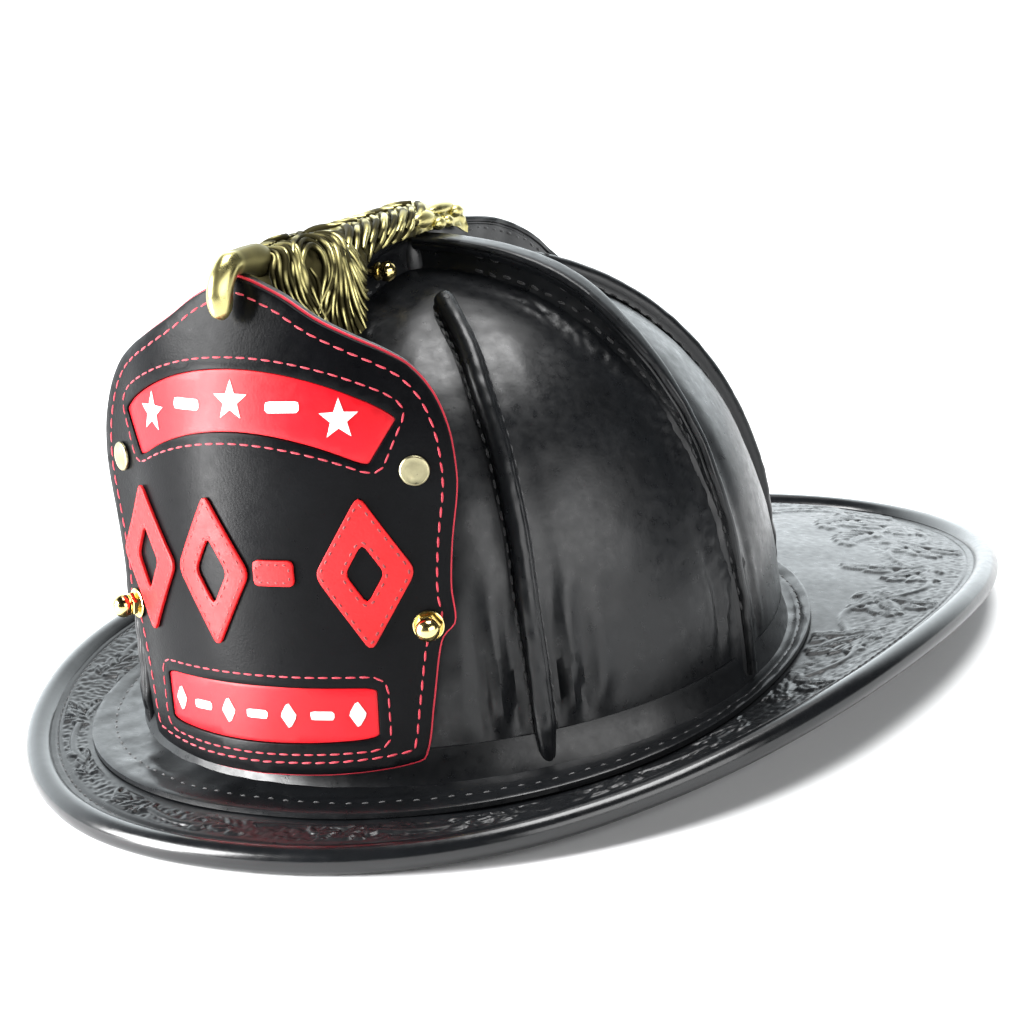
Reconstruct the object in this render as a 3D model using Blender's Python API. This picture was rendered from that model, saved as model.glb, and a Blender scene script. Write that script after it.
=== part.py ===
"""Traditional eight-comb leather firefighter helmet, as an assembly of separate pieces.

Every size below is in millimetres; MM turns it into Blender's metres.
The helmet stands on the floor at z = 0 with its front towards -Y and the wearer's left at +X.
The origin is under the middle of the helmet's length, on the floor.
"""

import math

import bmesh
import bpy
from mathutils import Vector

MM = 0.001

# ---- driving dimensions -------------------------------------------------------------------------

# Brim: the centre line of its rolled edge, seen from above, is a long egg shape.
BRIM_HALF_LENGTH = 202.75
BRIM_HALF_WIDTH = 147.0
BRIM_WIDEST_Y = -25.85
BRIM_SQUARENESS = 0.95
BRIM_SIDE_LIFT = 16.8
BRIM_THICKNESS = 3.5
ROLL_RADIUS = 4.5
ROLL_BORE = 2.6
WIRE_RADIUS = 1.9

# Crown: a dome over an oval base that climbs towards the back.
CROWN_Y = -50.6
CROWN_APEX_Y = -60.8
CROWN_HALF_WIDTH = 106.25
CROWN_FRONT_REACH = 108.3
CROWN_REAR_REACH = 110.9
CROWN_TOP_Z = 155.9
CROWN_WALL = 3.5
CROWN_SIDE_POWER = 2.136
CROWN_HEIGHT_POWER = 2.445
CROWN_SKIRT = 2.2
BASE_Z = 18.7
BASE_SLOPE = 0.082
BASE_CURVE = 0.0002

# Welt: the stitched flange that joins the crown to the brim.
WELT_Y = -64.15
WELT_HALF_WIDTH = 116.6
WELT_FRONT_REACH = 118.5
WELT_REAR_REACH = 133.9
WELT_THICKNESS = 2.2

# Front shield: a leather plate bent to a cylinder and tipped back a little.
SHIELD_BEND_RADIUS = 92.84
SHIELD_TILT = math.radians(1.78)
SHIELD_FOOT = (0.0, -172.95, 19.3)
SHIELD_THICKNESS = 4.0
SHIELD_LEAN, SHIELD_LEAN_FROM = 11.5, 92.0      # the peak bends back over the top 62 mm
SHIELD_LEAN_SPAN = 62.0
SHIELD_FLARE, SHIELD_FLARE_FROM = 3.4, 50.0     # the two side edges curl forward
SHIELD_FLARE_SPAN = 20.0
# (half width, height) down the shield's edge, from its foot to its peak
SHIELD_OUTLINE = ((55.3, 7.8), (58.5, 23.4), (62.1, 41.3), (66.7, 47.6), (66.4, 58.6), (67.8, 72.4),
                  (70.3, 87.5), (70.5, 96.7), (69.0, 107.6), (64.8, 118.1), (58.0, 126.1),
                  (49.5, 131.3), (39.5, 135.9), (27.8, 141.5), (16.5, 148.0), (3.0, 153.5))
SHIELD_FOOT_HALF_WIDTH = 50.4
SHIELD_FOOT_RISE = 3.7
RIVET_U, RIVET_V = 58.1, 95.1
NUT_U, NUT_V = 58.3, 47.1
STUD_RADIUS = 1.7
STAY_EDGES = (-7.0, 0.0, 3.6)    # across the stay from its stud, so it hides behind the shield
PATCH_LOW, PATCH_HIGH = 0.4, 1.3
EMBLEM_LOW, EMBLEM_HIGH = 0.3, 1.5
# (name, middle across, half width, stroke) of the open diamonds
EMBLEMS = (("emblem_outer_right", -45.0, 17.0, 8.0), ("emblem_inner_right", -11.5, 14.5, 7.0),
           ("emblem_left", 40.5, 15.5, 8.0))
EMBLEM_V, EMBLEM_HALF_HEIGHT = 64.5, 24.5

# Combs: (name, degrees from the front, crest height, rise at which the crest is reached)
COMBS = (("comb_front", 0, 14.5, 0.6), ("comb_left", 90, 13.0, 0.95), ("comb_rear", 180, 15.5, 0.5),
         ("comb_right", 270, 13.0, 0.95))
COMB_FOOT_HEIGHT = 3.0
COMB_ROOT, COMB_WAIST, COMB_LIP, COMB_CREST = 5.5, 3.0, 2.9, 1.6     # half widths, from the root up
COMB_RISES = (0.012, 0.08, 0.18, 0.29, 0.40, 0.51, 0.62, 0.72, 0.81, 0.88, 0.925)
RIBS = (("rib_front_left", 45), ("rib_rear_left", 135), ("rib_rear_right", 225), ("rib_front_right", 315))
RIB_RISES = (0.012, 0.03, 0.12, 0.24, 0.36, 0.48, 0.60, 0.70, 0.765, 0.785)
RIB_OUTLINE = ((3.2, 0.0), (3.3, 1.7), (1.8, 3.6), (-1.8, 3.6), (-3.3, 1.7), (-3.2, 0.0))

# Eagle finial.
# The beak's centre line from its tip: (y, z, radius)
BEAK = ((-165.0, 161.5, 2.4), (-165.9, 166.0, 3.9), (-164.6, 171.8, 4.1), (-159.8, 176.6, 3.9),
        (-153.5, 177.1, 3.8), (-146.5, 176.2, 4.4))
# The saddle-shaped body: (y, top z, shoulder, side x, side z, tip x, tip z, roof z)
EAGLE_BODY = ((-139.0, 178.0, 6.0, 8.0, 170.0, 9.0, 159.5, 167.0),
              (-131.0, 178.6, 7.0, 10.5, 168.0, 14.0, 152.0, 168.5),
              (-124.0, 178.3, 7.5, 13.0, 166.5, 18.0, 147.0, 169.0),
              (-118.0, 178.0, 7.8, 14.5, 166.0, 19.5, 148.5, 169.8),
              (-111.0, 177.7, 8.0, 13.5, 167.5, 16.5, 157.0, 170.3),
              (-103.0, 177.4, 8.0, 12.0, 169.0, 13.0, 165.0, 170.6),
              (-94.0, 177.0, 7.5, 10.5, 170.0, 11.0, 167.5, 170.8),
              (-71.0, 176.8, 7.5, 10.5, 170.5, 11.0, 168.2, 171.0),
              (-52.0, 176.0, 7.0, 9.0, 170.8, 9.5, 168.6, 171.0),
              (-42.0, 173.4, 5.5, 7.0, 169.5, 7.5, 165.5, 170.2),
              (-33.0, 171.3, 3.0, 6.0, 167.0, 6.5, 161.5, 169.4))
SCREW_Y, SCREW_Z = -88.0, 160.5

GAP = 0.3
EDGE_STEPS = 36

# Liner and suspension. Insets are measured inwards from the crown's outer face.
IMPACT_OUTER, IMPACT_INNER, IMPACT_LOW = 4.6, 6.4, 64.5
FOAM_OUTER, FOAM_INNER, FOAM_LOW = 6.9, 15.8, 68.0
LINER_RISES = (0.0, 0.2, 0.4, 0.6, 0.8, 0.96)
RING_LOW, RING_HIGH = 64.5, 67.5
RING_OUTER, RING_INNER = 8.0, 22.0
STRAP_FOOT_Z, STRAP_FOOT_INSET = 69.0, 20.0
STRAP_CROWN_Z = 118.0
CROWN_STRAPS = (("right_front", -30), ("crosswise", 90), ("left_front", 30))
CROWN_STRAP_HALF_WIDTH, CROWN_STRAP_THICKNESS, CROWN_STRAP_STACK = 9.0, 1.3, 2.2
CROWN_PAD_DROP = 10.0
FLAP_FROM, FLAP_TO = 107, 253           # degrees round from the front
FLAP_LOW, FLAP_HIGH = 27.0, 61.0
FLAP_OUTER, FLAP_INNER, FLAP_LEVEL = 5.2, 7.6, 62.0

# Headband: its front half is an oval, its rear half a round band that slides inside it.
HEAD_Y = -75.85
HEAD_HALF_WIDTH = 80.6
HEAD_FRONT_REACH = 71.5
BAND_THICKNESS = 1.6
BAND_LOW, BAND_HIGH = 35.0, 62.0
FRONT_BAND_LOW = 35.8                    # the front band clears the swinging strap ends
NAPE_Y = -47.85
NAPE_RADIUS = 79.4
KNOB_Z = 47.5
PINION_PITCH_RADIUS = 6.0
PINION_TEETH = 10
RACK_RADIUS = 80.4

# Chin strap: webbing on edge inside the helmet, turning on a stud at each side.
STRAP_X = 82.0
STRAP_PIVOT = (-29.85, 24.0)            # (y, z) of the two studs
STRAP_BEND = (-99.85, 11.5)             # (y, z) where the straight arms end
STRAP_HEIGHT = 15.0
STRAP_THICKNESS = 1.6
STRAP_LOOP_DEPTH = 44.0
BUCKLE_Y = -53.0                        # the face where the buckle's two halves meet
BUCKLE_REAR_Y = -35.15                  # the rear face of its socket
BUCKLE_HALF_THICK, BUCKLE_HALF_HEIGHT = 3.4, 11.6
SLOT_HALF_THICK, SLOT_HALF_HEIGHT = 1.15, 7.9
SLIDE_Y = -70.0

# Hanging ring under the tail.
HANGER_Y = 81.0
HANGER_Z = 21.4
RING_WIRE = 1.6
RING_BEND_RADIUS = 10.3

# ---- materials ----------------------------------------------------------------------------------

PAINTS = {
    "black_leather": ((0.012, 0.013, 0.015), 0.32, 0.0),
    "shield_leather": ((0.010, 0.010, 0.012), 0.28, 0.0),
    "red_leather": ((0.72, 0.018, 0.020), 0.38, 0.0),
    "antique_brass": ((0.50, 0.40, 0.17), 0.34, 1.0),
    "bright_brass": ((0.78, 0.58, 0.24), 0.22, 1.0),
    "steel": ((0.55, 0.55, 0.56), 0.35, 1.0),
    "black_plastic": ((0.02, 0.02, 0.02), 0.45, 0.0),
    "impact_plastic": ((0.07, 0.07, 0.08), 0.40, 0.0),
    "foam": ((0.16, 0.16, 0.17), 0.95, 0.0),
    "webbing": ((0.035, 0.035, 0.038), 0.80, 0.0),
    "pad_leather": ((0.16, 0.10, 0.06), 0.55, 0.0),
    "flap_cloth": ((0.05, 0.05, 0.055), 0.90, 0.0),
}


def make_paints():
    """One Principled material for each kind of surface."""
    paints = {}
    for name, (colour, roughness, metallic) in PAINTS.items():
        paint = bpy.data.materials.new(name)
        paint.use_nodes = True
        shader = paint.node_tree.nodes["Principled BSDF"]
        shader.inputs["Base Color"].default_value = (*colour, 1.0)
        shader.inputs["Roughness"].default_value = roughness
        shader.inputs["Metallic"].default_value = metallic
        paints[name] = paint
    return paints


# ---- mesh helpers -------------------------------------------------------------------------------


def add_piece(name, points, faces, paint):
    """A closed mesh as one named object, with its faces pointing out."""
    mesh = bpy.data.meshes.new(name)
    mesh.from_pydata([Vector(p) * MM for p in points], [], faces)
    work = bmesh.new()
    work.from_mesh(mesh)
    bmesh.ops.recalc_face_normals(work, faces=work.faces)
    work.to_mesh(mesh)
    work.free()
    mesh.shade_smooth()
    mesh.set_sharp_from_angle(angle=math.radians(35))
    mesh.materials.append(paint)
    piece = bpy.data.objects.new(name, mesh)
    bpy.context.scene.collection.objects.link(piece)
    return piece


def loft(name, sections, paint, looped=False):
    """A skin over closed sections with equally many points; open ends get flat caps."""
    size = len(sections[0])
    points = [p for section in sections for p in section]
    faces = []
    for i in range(len(sections) if looped else len(sections) - 1):
        here = i * size
        there = ((i + 1) % len(sections)) * size
        for j in range(size):
            k = (j + 1) % size
            faces.append((here + j, here + k, there + k, there + j))
    if not looped:
        faces.append(tuple(range(size)))
        faces.append(tuple(range(len(points) - size, len(points))))
    return add_piece(name, points, faces, paint)


def plate(name, front, back, paint):
    """A plate between two grids of points of the same size."""
    rows, columns = len(front), len(front[0])
    points = [p for grid in (front, back) for row in grid for p in row]
    faces = []
    for side in (0, rows * columns):
        for i in range(rows - 1):
            for j in range(columns - 1):
                at = side + i * columns + j
                faces.append((at, at + 1, at + columns + 1, at + columns))
    rim = [j for j in range(columns)]
    rim += [i * columns + columns - 1 for i in range(1, rows)]
    rim += [(rows - 1) * columns + j for j in range(columns - 2, -1, -1)]
    rim += [i * columns for i in range(rows - 2, 0, -1)]
    for here, there in zip(rim, rim[1:] + rim[:1]):
        faces.append((here, there, there + rows * columns, here + rows * columns))
    return add_piece(name, points, faces, paint)


def spun(profile, angle, foot, axis):
    """The points of a (radius, height) profile, turned by an angle about an axis through foot."""
    turn = Vector((0, 0, 1)).rotation_difference(Vector(axis).normalized())
    return [Vector(foot) + turn @ Vector((r * math.cos(angle), r * math.sin(angle), h)) for r, h in profile]


def turned_solid(name, profile, foot, axis, paint, sides=12):
    """A solid of revolution: the profile runs from one flat end to the other."""
    columns = [spun(profile, angle, foot, axis) for angle in around(sides)]
    return loft(name, list(zip(*columns)), paint)


def turned_ring(name, profile, foot, axis, paint, sides=16):
    """A ring turned from a closed outline."""
    return loft(name, [spun(profile, angle, foot, axis) for angle in around(sides)], paint, looped=True)


def box(name, low, high, paint):
    """A plain block between two corners."""
    (x0, y0, z0), (x1, y1, z1) = low, high
    ends = [[(x, y0, z0), (x, y1, z0), (x, y1, z1), (x, y0, z1)] for x in (x0, x1)]
    return loft(name, ends, paint)


def cut(piece, cutter):
    """Cut one object out of another with a Boolean that stays on the piece."""
    cutter.hide_render = True
    cutter.display_type = "WIRE"
    modifier = piece.modifiers.new("cut_" + cutter.name, "BOOLEAN")
    modifier.operation = "DIFFERENCE"
    modifier.solver = "EXACT"
    modifier.object = cutter
    return piece


def drill(piece, middle, axis, radius, length, paint, sides=16):
    """Cut a round hole centred on a point."""
    profile = [(radius, -length / 2), (radius, length / 2)]
    name = "drill_" + piece.name + str(len(piece.modifiers))
    return cut(piece, turned_solid(name, profile, middle, axis, paint, sides=sides))


def set_pivot(piece, pivot):
    """Put a moving piece's origin on its joint's axis and leave its shape where it is."""
    shift = Vector(pivot) * MM
    for vertex in piece.data.vertices:
        vertex.co -= shift
    piece.location = shift
    return piece


# ---- the shapes that the pieces share -----------------------------------------------------------


def lerp(a, b, share):
    return a + (b - a) * share


def smooth(share):
    share = min(1.0, max(0.0, share))
    return share * share * (3 - 2 * share)


def power(value, exponent):
    return math.copysign(abs(value) ** exponent, value)


def brim_edge(phi):
    """The centre of the rolled edge; phi is 0 at the front and 90 degrees at the wearer's left."""
    reach = BRIM_HALF_LENGTH + BRIM_WIDEST_Y if math.cos(phi) > 0 else BRIM_HALF_LENGTH - BRIM_WIDEST_Y
    x = BRIM_HALF_WIDTH * power(math.sin(phi), BRIM_SQUARENESS)
    y = BRIM_WIDEST_Y - reach * power(math.cos(phi), BRIM_SQUARENESS)
    return x, y, ROLL_RADIUS + BRIM_SIDE_LIFT * abs(math.sin(phi)) ** 3.08


def edge_frame(phi):
    """The rolled edge's centre with its outward and upward directions."""
    step = math.radians(1.5)
    along = Vector(brim_edge(phi + step)) - Vector(brim_edge(phi - step))
    return Vector(brim_edge(phi)), Vector((along.y, -along.x, 0)).normalized(), Vector((0, 0, 1))


def base_height(y):
    """The height at which the crown meets its welt."""
    back = y - CROWN_Y
    return BASE_Z + BASE_SLOPE * back + BASE_CURVE * back * back


def crown_plan(phi, inset=0.0):
    """The crown's base outline, measured from the crown's centre."""
    reach = CROWN_FRONT_REACH if math.cos(phi) > 0 else CROWN_REAR_REACH
    return (CROWN_HALF_WIDTH - inset) * math.sin(phi), -(reach - inset) * math.cos(phi)


def crown_point(phi, rise, inset=0.0):
    """A point on the dome; rise is 0 at the base and 1 at the apex."""
    angle = rise * math.pi / 2
    spread = math.cos(angle) ** (2 / CROWN_SIDE_POWER)
    lift = math.sin(angle) ** (2 / CROWN_HEIGHT_POWER)
    x, back = crown_plan(phi, inset)
    low = base_height(CROWN_Y + crown_plan(phi)[1])
    y = CROWN_Y + back * spread + (CROWN_APEX_Y - CROWN_Y) * (1 - spread)
    return Vector((x * spread, y, lerp(low, CROWN_TOP_Z - inset, lift)))


def crown_wall(phi, z, inset):
    """The point of the dome at a stated height."""
    low = base_height(CROWN_Y + crown_plan(phi)[1])
    lift = min(1.0, max(0.0, (z - low) / (CROWN_TOP_Z - inset - low)))
    spread = (1 - lift ** CROWN_HEIGHT_POWER) ** (1 / CROWN_SIDE_POWER)
    x, back = crown_plan(phi, inset)
    return Vector((x * spread, CROWN_Y + back * spread + (CROWN_APEX_Y - CROWN_Y) * (1 - spread), z))


def crown_frame(phi, rise):
    """A point of the dome with its outward normal and its sideways direction."""
    point = crown_point(phi, rise)
    along = crown_point(phi, min(rise + 0.004, 1.0)) - crown_point(phi, max(rise - 0.004, 0.0))
    side = Vector((math.cos(phi), math.sin(phi), 0.0))
    outward = side.cross(along).normalized()
    return point, outward, along.cross(outward).normalized()


def shield_point(u, v, out=0.0):
    """A point on the shield: u across, v up, out in front of its face."""
    turn = u / SHIELD_BEND_RADIUS
    flare = SHIELD_FLARE * (max(0.0, abs(u) - SHIELD_FLARE_FROM) / SHIELD_FLARE_SPAN) ** 2
    lean = SHIELD_LEAN * (max(0.0, v - SHIELD_LEAN_FROM) / SHIELD_LEAN_SPAN) ** 2
    radius = SHIELD_BEND_RADIUS + out + flare
    back = SHIELD_BEND_RADIUS - radius * math.cos(turn)
    y = SHIELD_FOOT[1] + lean + v * math.sin(SHIELD_TILT) + back * math.cos(SHIELD_TILT)
    z = SHIELD_FOOT[2] + v * math.cos(SHIELD_TILT) - back * math.sin(SHIELD_TILT)
    return Vector((radius * math.sin(turn), y, z))


def shield_normal(u, v):
    across = shield_point(u + 1, v) - shield_point(u - 1, v)
    upward = shield_point(u, v + 1) - shield_point(u, v - 1)
    return across.cross(upward).normalized()


def around(steps=EDGE_STEPS):
    return [2 * math.pi * i / steps for i in range(steps)]


# ---- shell: crown, brim, edge roll, welt --------------------------------------------------------


def dome(name, outer_inset, inner_inset, low_z, paint, rises):
    """A dome wall between two insets, open below; low_z is None where it runs to the crown's base."""
    def ring(inset, share):
        points = []
        for phi in around():
            if low_z is None:
                points.append(crown_point(phi, share, inset))
            else:
                top = CROWN_TOP_Z - inset
                z = lerp(low_z, top, math.sin(share * math.pi / 2) ** 0.9)
                points.append(crown_wall(phi, min(z, top - 0.02), inset))
        return points

    outer = [ring(outer_inset, share) for share in rises]
    inner = [ring(inner_inset, share) for share in rises]
    if low_z is None:
        skirt = Vector((0, 0, CROWN_SKIRT))
        outer.insert(0, [p - skirt for p in outer[0]])
        inner.insert(0, [p - skirt for p in inner[0]])
    return loft(name, inner[::-1] + outer, paint)


def brim_section(phi):
    """Points across the brim's top face, from its opening to the rolled edge."""
    floor = -CROWN_SKIRT - GAP
    seat = base_height(CROWN_Y + crown_plan(phi)[1]) + floor
    inner, ledge = (Vector((x, CROWN_Y + back, seat))
                    for x, back in (crown_plan(phi, CROWN_WALL), crown_plan(phi, -GAP)))
    reach = WELT_FRONT_REACH if math.cos(phi) > 0 else WELT_REAR_REACH
    x1 = WELT_HALF_WIDTH * power(math.sin(phi), 0.93)
    y1 = WELT_Y - reach * power(math.cos(phi), 0.93)
    welt_lift = 0.6 + 2.4 * math.sin(phi) ** 2
    outer_welt = Vector((x1, y1, base_height(y1) + welt_lift + floor))
    edge, outward, up = edge_frame(phi)
    stop = edge - outward * (ROLL_BORE + 0.1) + up * (BRIM_THICKNESS / 2)
    neck = stop - outward * (ROLL_RADIUS - ROLL_BORE + 0.8)
    arch = 4.0 * max(0.0, -math.cos(phi)) ** 2
    tail = [outer_welt.lerp(neck, share) + Vector((0, 0, arch * 4 * share * (1 - share)))
            for share in (0.0, 0.35, 0.7, 1.0)]
    return [inner, ledge] + tail + [stop]


def make_brim(paint):
    drop = Vector((0, 0, BRIM_THICKNESS))
    sections = []
    for phi in around():
        top = brim_section(phi)
        sections.append(top + [p - drop for p in reversed(top)])
    return loft("brim", sections, paint, looped=True)


def make_edge_roll(paint):
    slit = BRIM_THICKNESS / 2 + GAP
    outer_start = math.degrees(math.asin(slit / ROLL_RADIUS))
    inner_start = math.degrees(math.asin(slit / ROLL_BORE))
    turns = [(ROLL_RADIUS, angle) for angle in (outer_start, 90, 135, 180, 225, 270, 360 - outer_start)]
    turns += [(ROLL_BORE, lerp(360 - inner_start, inner_start, i / 4)) for i in range(5)]
    outline = [(-r * math.cos(math.radians(a)), -r * math.sin(math.radians(a))) for r, a in turns]
    sections = []
    for phi in around():
        centre, outward, up = edge_frame(phi)
        sections.append([centre + outward * a + up * b for a, b in outline])
    return loft("brim_edge_roll", sections, paint, looped=True)


def make_brim_wire(paint):
    sections = []
    for phi in around():
        centre, outward, up = edge_frame(phi)
        sections.append([centre + outward * (WIRE_RADIUS * math.cos(a)) + up * (WIRE_RADIUS * math.sin(a))
                         for a in around(6)])
    return loft("brim_wire", sections, paint, looped=True)


def make_welt(paint):
    sections = []
    lift = Vector((0, 0, GAP))
    thick = Vector((0, 0, WELT_THICKNESS))
    for phi in around():
        ledge, outer = brim_section(phi)[1:3]
        foot, edge = ledge + lift, outer + lift
        sections.append([foot, edge, edge + thick, foot + thick])
    return loft("shell_welt", sections, paint, looped=True)


# ---- combs and ribs -----------------------------------------------------------------------------


def comb_height(rise, crest, reach):
    """A comb is low at the brim, at its crest height from the rise called reach, and dips at the apex."""
    grown = lerp(COMB_FOOT_HEIGHT, crest, smooth(rise / reach) ** 0.8)
    return grown * lerp(1.0, 0.84, smooth((rise - 0.7) / 0.22))


def make_comb(name, phi, crest, reach, paint):
    """A stitched fin of folded leather along one meridian of the crown."""
    sections = []
    for rise in COMB_RISES:
        point, outward, side = crown_frame(phi, rise)
        height = comb_height(rise, crest, reach)
        half = [(COMB_ROOT, 0.0), (COMB_WAIST, 0.42 * height), (COMB_LIP, 0.86 * height),
                (COMB_CREST, height)]
        outline = half + [(-a, b) for a, b in reversed(half)]
        lift = GAP + 0.25
        sections.append([point + side * a + outward * (b + lift) for a, b in outline])
    return loft(name, sections, paint)


def make_rib(name, phi, paint):
    """A narrow corded rib between two combs."""
    sections = []
    for rise in RIB_RISES:
        point, outward, side = crown_frame(phi, rise)
        size = 0.55 if rise in (RIB_RISES[0], RIB_RISES[-1]) else 1.0
        lift = GAP + 0.4
        sections.append([point + side * (a * size) + outward * (b * size + lift)
                         for a, b in RIB_OUTLINE])
    return loft(name, sections, paint)


def make_comb_saddle(paint):
    """The leather block on the apex that the four combs run into and the finial sits on."""
    centre = (0.0, CROWN_APEX_Y, CROWN_TOP_Z)
    profile = [(12.2, 0.5), (12.4, 4.0), (10.5, 9.0), (8.0, 10.5)]
    return turned_solid("comb_saddle", profile, centre, (0, 0, 1), paint)


# ---- front shield and what is on it -------------------------------------------------------------


def shield_grid(out):
    """The shield's face as rows of points from its foot to its peak."""
    columns = [i / 9 for i in range(-9, 10)]
    rows = [[shield_point(SHIELD_FOOT_HALF_WIDTH * c, -0.2 + SHIELD_FOOT_RISE * c * c, out)
             for c in columns]]
    for half_width, height in SHIELD_OUTLINE:
        rows.append([shield_point(half_width * c, height, out) for c in columns])
    return rows


def shield_patch(name, outline_rows, low, high, paint):
    """A thin leather patch on the shield, from rows of (u, v)."""
    front = [[shield_point(u, v, high) for u, v in row] for row in outline_rows]
    back = [[shield_point(u, v, low) for u, v in row] for row in outline_rows]
    return plate(name, front, back, paint)


def upper_panel_row(share):
    """share 0 is the arched panel's lower edge and 1 its upper edge."""
    half_width = lerp(44.0, 54.0, share)
    middle, corner = lerp(108.0, 127.0, share), lerp(96.8, 111.5, share)
    return [(half_width * c, lerp(middle, corner, c * c)) for c in (i / 4 for i in range(-4, 5))]


def lower_panel_row(share):
    half_width = lerp(40.5, 41.0, share)
    middle, corner = lerp(10.5, 28.8, share), lerp(12.6, 28.5, share)
    return [(half_width * c, lerp(middle, corner, c * c)) for c in (i / 4 for i in range(-4, 5))]


def make_lozenge(name, middle, half_width, half_height, stroke, paint):
    """An open diamond of leather sewn on the shield."""
    sections = []
    inner_width = half_width - stroke * math.hypot(1, half_width / half_height)
    inner_height = half_height - stroke * math.hypot(1, half_height / half_width)
    corners = [(1, 0), (0, 1), (-1, 0), (0, -1)]
    for i, (a, b) in enumerate(corners):
        c, d = corners[(i + 1) % 4]
        for share in (0.0, 0.5):
            s, t = lerp(a, c, share), lerp(b, d, share)
            outer = (middle[0] + s * half_width, middle[1] + t * half_height)
            inner = (middle[0] + s * inner_width, middle[1] + t * inner_height)
            sections.append([shield_point(*outer, EMBLEM_LOW), shield_point(*outer, EMBLEM_HIGH),
                             shield_point(*inner, EMBLEM_HIGH), shield_point(*inner, EMBLEM_LOW)])
    return loft(name, sections, paint, looped=True)


def make_shield(paints):
    """The frontpiece with its panels, emblems and fasteners."""
    shield = plate("front_shield", shield_grid(0.0), shield_grid(-SHIELD_THICKNESS),
                   paints["shield_leather"])
    red = paints["red_leather"]
    shield_patch("shield_upper_panel", [upper_panel_row(0.0), upper_panel_row(0.5), upper_panel_row(1.0)],
                 PATCH_LOW, PATCH_HIGH, red)
    shield_patch("shield_lower_panel", [lower_panel_row(0.0), lower_panel_row(1.0)],
                 PATCH_LOW, PATCH_HIGH, red)
    for name, middle, half_width, stroke in EMBLEMS:
        make_lozenge(name, (middle, EMBLEM_V), half_width, EMBLEM_HALF_HEIGHT, stroke, red)
    bar = [[(u, v) for u in (4.7, 11.5, 18.3)] for v in (61.0, 69.0)]
    shield_patch("emblem_bar", bar, EMBLEM_LOW, EMBLEM_HIGH, red)

    for side, word in ((1, "left"), (-1, "right")):
        make_shield_fasteners(side, word, shield, paints)


def make_shield_fasteners(side, word, shield, paints):
    brass, bright, steel = paints["antique_brass"], paints["bright_brass"], paints["steel"]
    rivet_axis = shield_normal(side * RIVET_U, RIVET_V)
    rivet_foot = shield_point(side * RIVET_U, RIVET_V)
    drill(shield, rivet_foot, rivet_axis, 2.0, 14.0, steel, sides=12)
    back = -SHIELD_THICKNESS - 2.6
    rivet = [(3.4, back - 0.9), (3.4, back), (1.6, back), (1.6, 0.3), (4.65, 0.3), (4.65, 1.0), (4.0, 1.7),
             (1.0, 1.9)]
    turned_solid("shield_rivet_" + word, rivet, rivet_foot, rivet_axis, brass)

    nut_axis = shield_normal(side * NUT_U, NUT_V)
    nut_foot = shield_point(side * NUT_U, NUT_V)
    drill(shield, nut_foot, nut_axis, 2.1, 14.0, steel, sides=12)
    stud = [(3.6, -12.2), (3.6, -10.6), (STUD_RADIUS, -10.6), (STUD_RADIUS, 6.0)]
    turned_solid("shield_stud_" + word, stud, nut_foot, nut_axis, steel, sides=12)
    washer = [(2.1, 0.3), (4.8, 0.3), (4.8, 1.1), (4.4, 1.4), (2.1, 1.4)]
    turned_ring("shield_washer_" + word, washer, nut_foot, nut_axis, bright)
    bore = STUD_RADIUS + 0.25
    nut = [(bore, 6.4), (bore, 1.7), (3.9, 1.7), (3.9, 3.6), (3.3, 4.1), (3.75, 5.4), (3.6, 6.8), (2.8, 8.1),
           (1.4, 8.8), (0.4, 8.95)]
    turned_solid("shield_nut_" + word, nut, nut_foot, nut_axis, bright)

    make_stay(side, word, steel)


def make_stay(side, word, steel):
    """A metal strip behind the shield, riveted above and held by the stud below."""
    near, far = -SHIELD_THICKNESS - 0.5, -SHIELD_THICKNESS - 2.1
    rows = [[(side * (RIVET_U + offset), v) for offset in STAY_EDGES]
            for v in (NUT_V - 7.0, NUT_V + 14.0, RIVET_V - 14.0, RIVET_V + 7.0)]
    stay = shield_patch("shield_stay_" + word, rows, far, near, steel)
    for v, radius in ((NUT_V, 2.1), (RIVET_V, 2.0)):
        axis = shield_normal(side * RIVET_U, v)
        middle = shield_point(side * RIVET_U, v) + axis * ((near + far) / 2)
        drill(stay, middle, axis, radius, 6.0, steel, sides=12)


# ---- eagle finial -------------------------------------------------------------------------------


def make_eagle(paint):
    """A cast eagle: a hooked beak over the shield's peak and a body that straddles the front comb."""
    sections = []
    for i, (y, z, radius) in enumerate(BEAK):
        y0, z0 = BEAK[max(i - 1, 0)][:2]
        y1, z1 = BEAK[min(i + 1, len(BEAK) - 1)][:2]
        along = Vector((0, y1 - y0, z1 - z0)).normalized()
        up = Vector((1, 0, 0)).cross(along)
        ring = []
        for step in range(12):
            angle = math.radians(15 + 30 * step)
            across = Vector((1, 0, 0)) * (radius * math.sin(angle))
            ring.append(Vector((0, y, z)) + across + up * (radius * math.cos(angle)))
        sections.append(ring)
    for y, top, shoulder, side_x, side_z, tip_x, tip_z, roof in EAGLE_BODY:
        half = [(2.5, top), (shoulder, top - 2.5), (side_x, side_z), (tip_x, tip_z),
                (tip_x - 2.2, tip_z + 0.4), (4.4, roof - 0.4)]
        outline = half + [(-a, b) for a, b in reversed(half)]
        sections.append([Vector((a, y, b)) for a, b in outline])
    return loft("eagle_finial", sections, paint)


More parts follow.
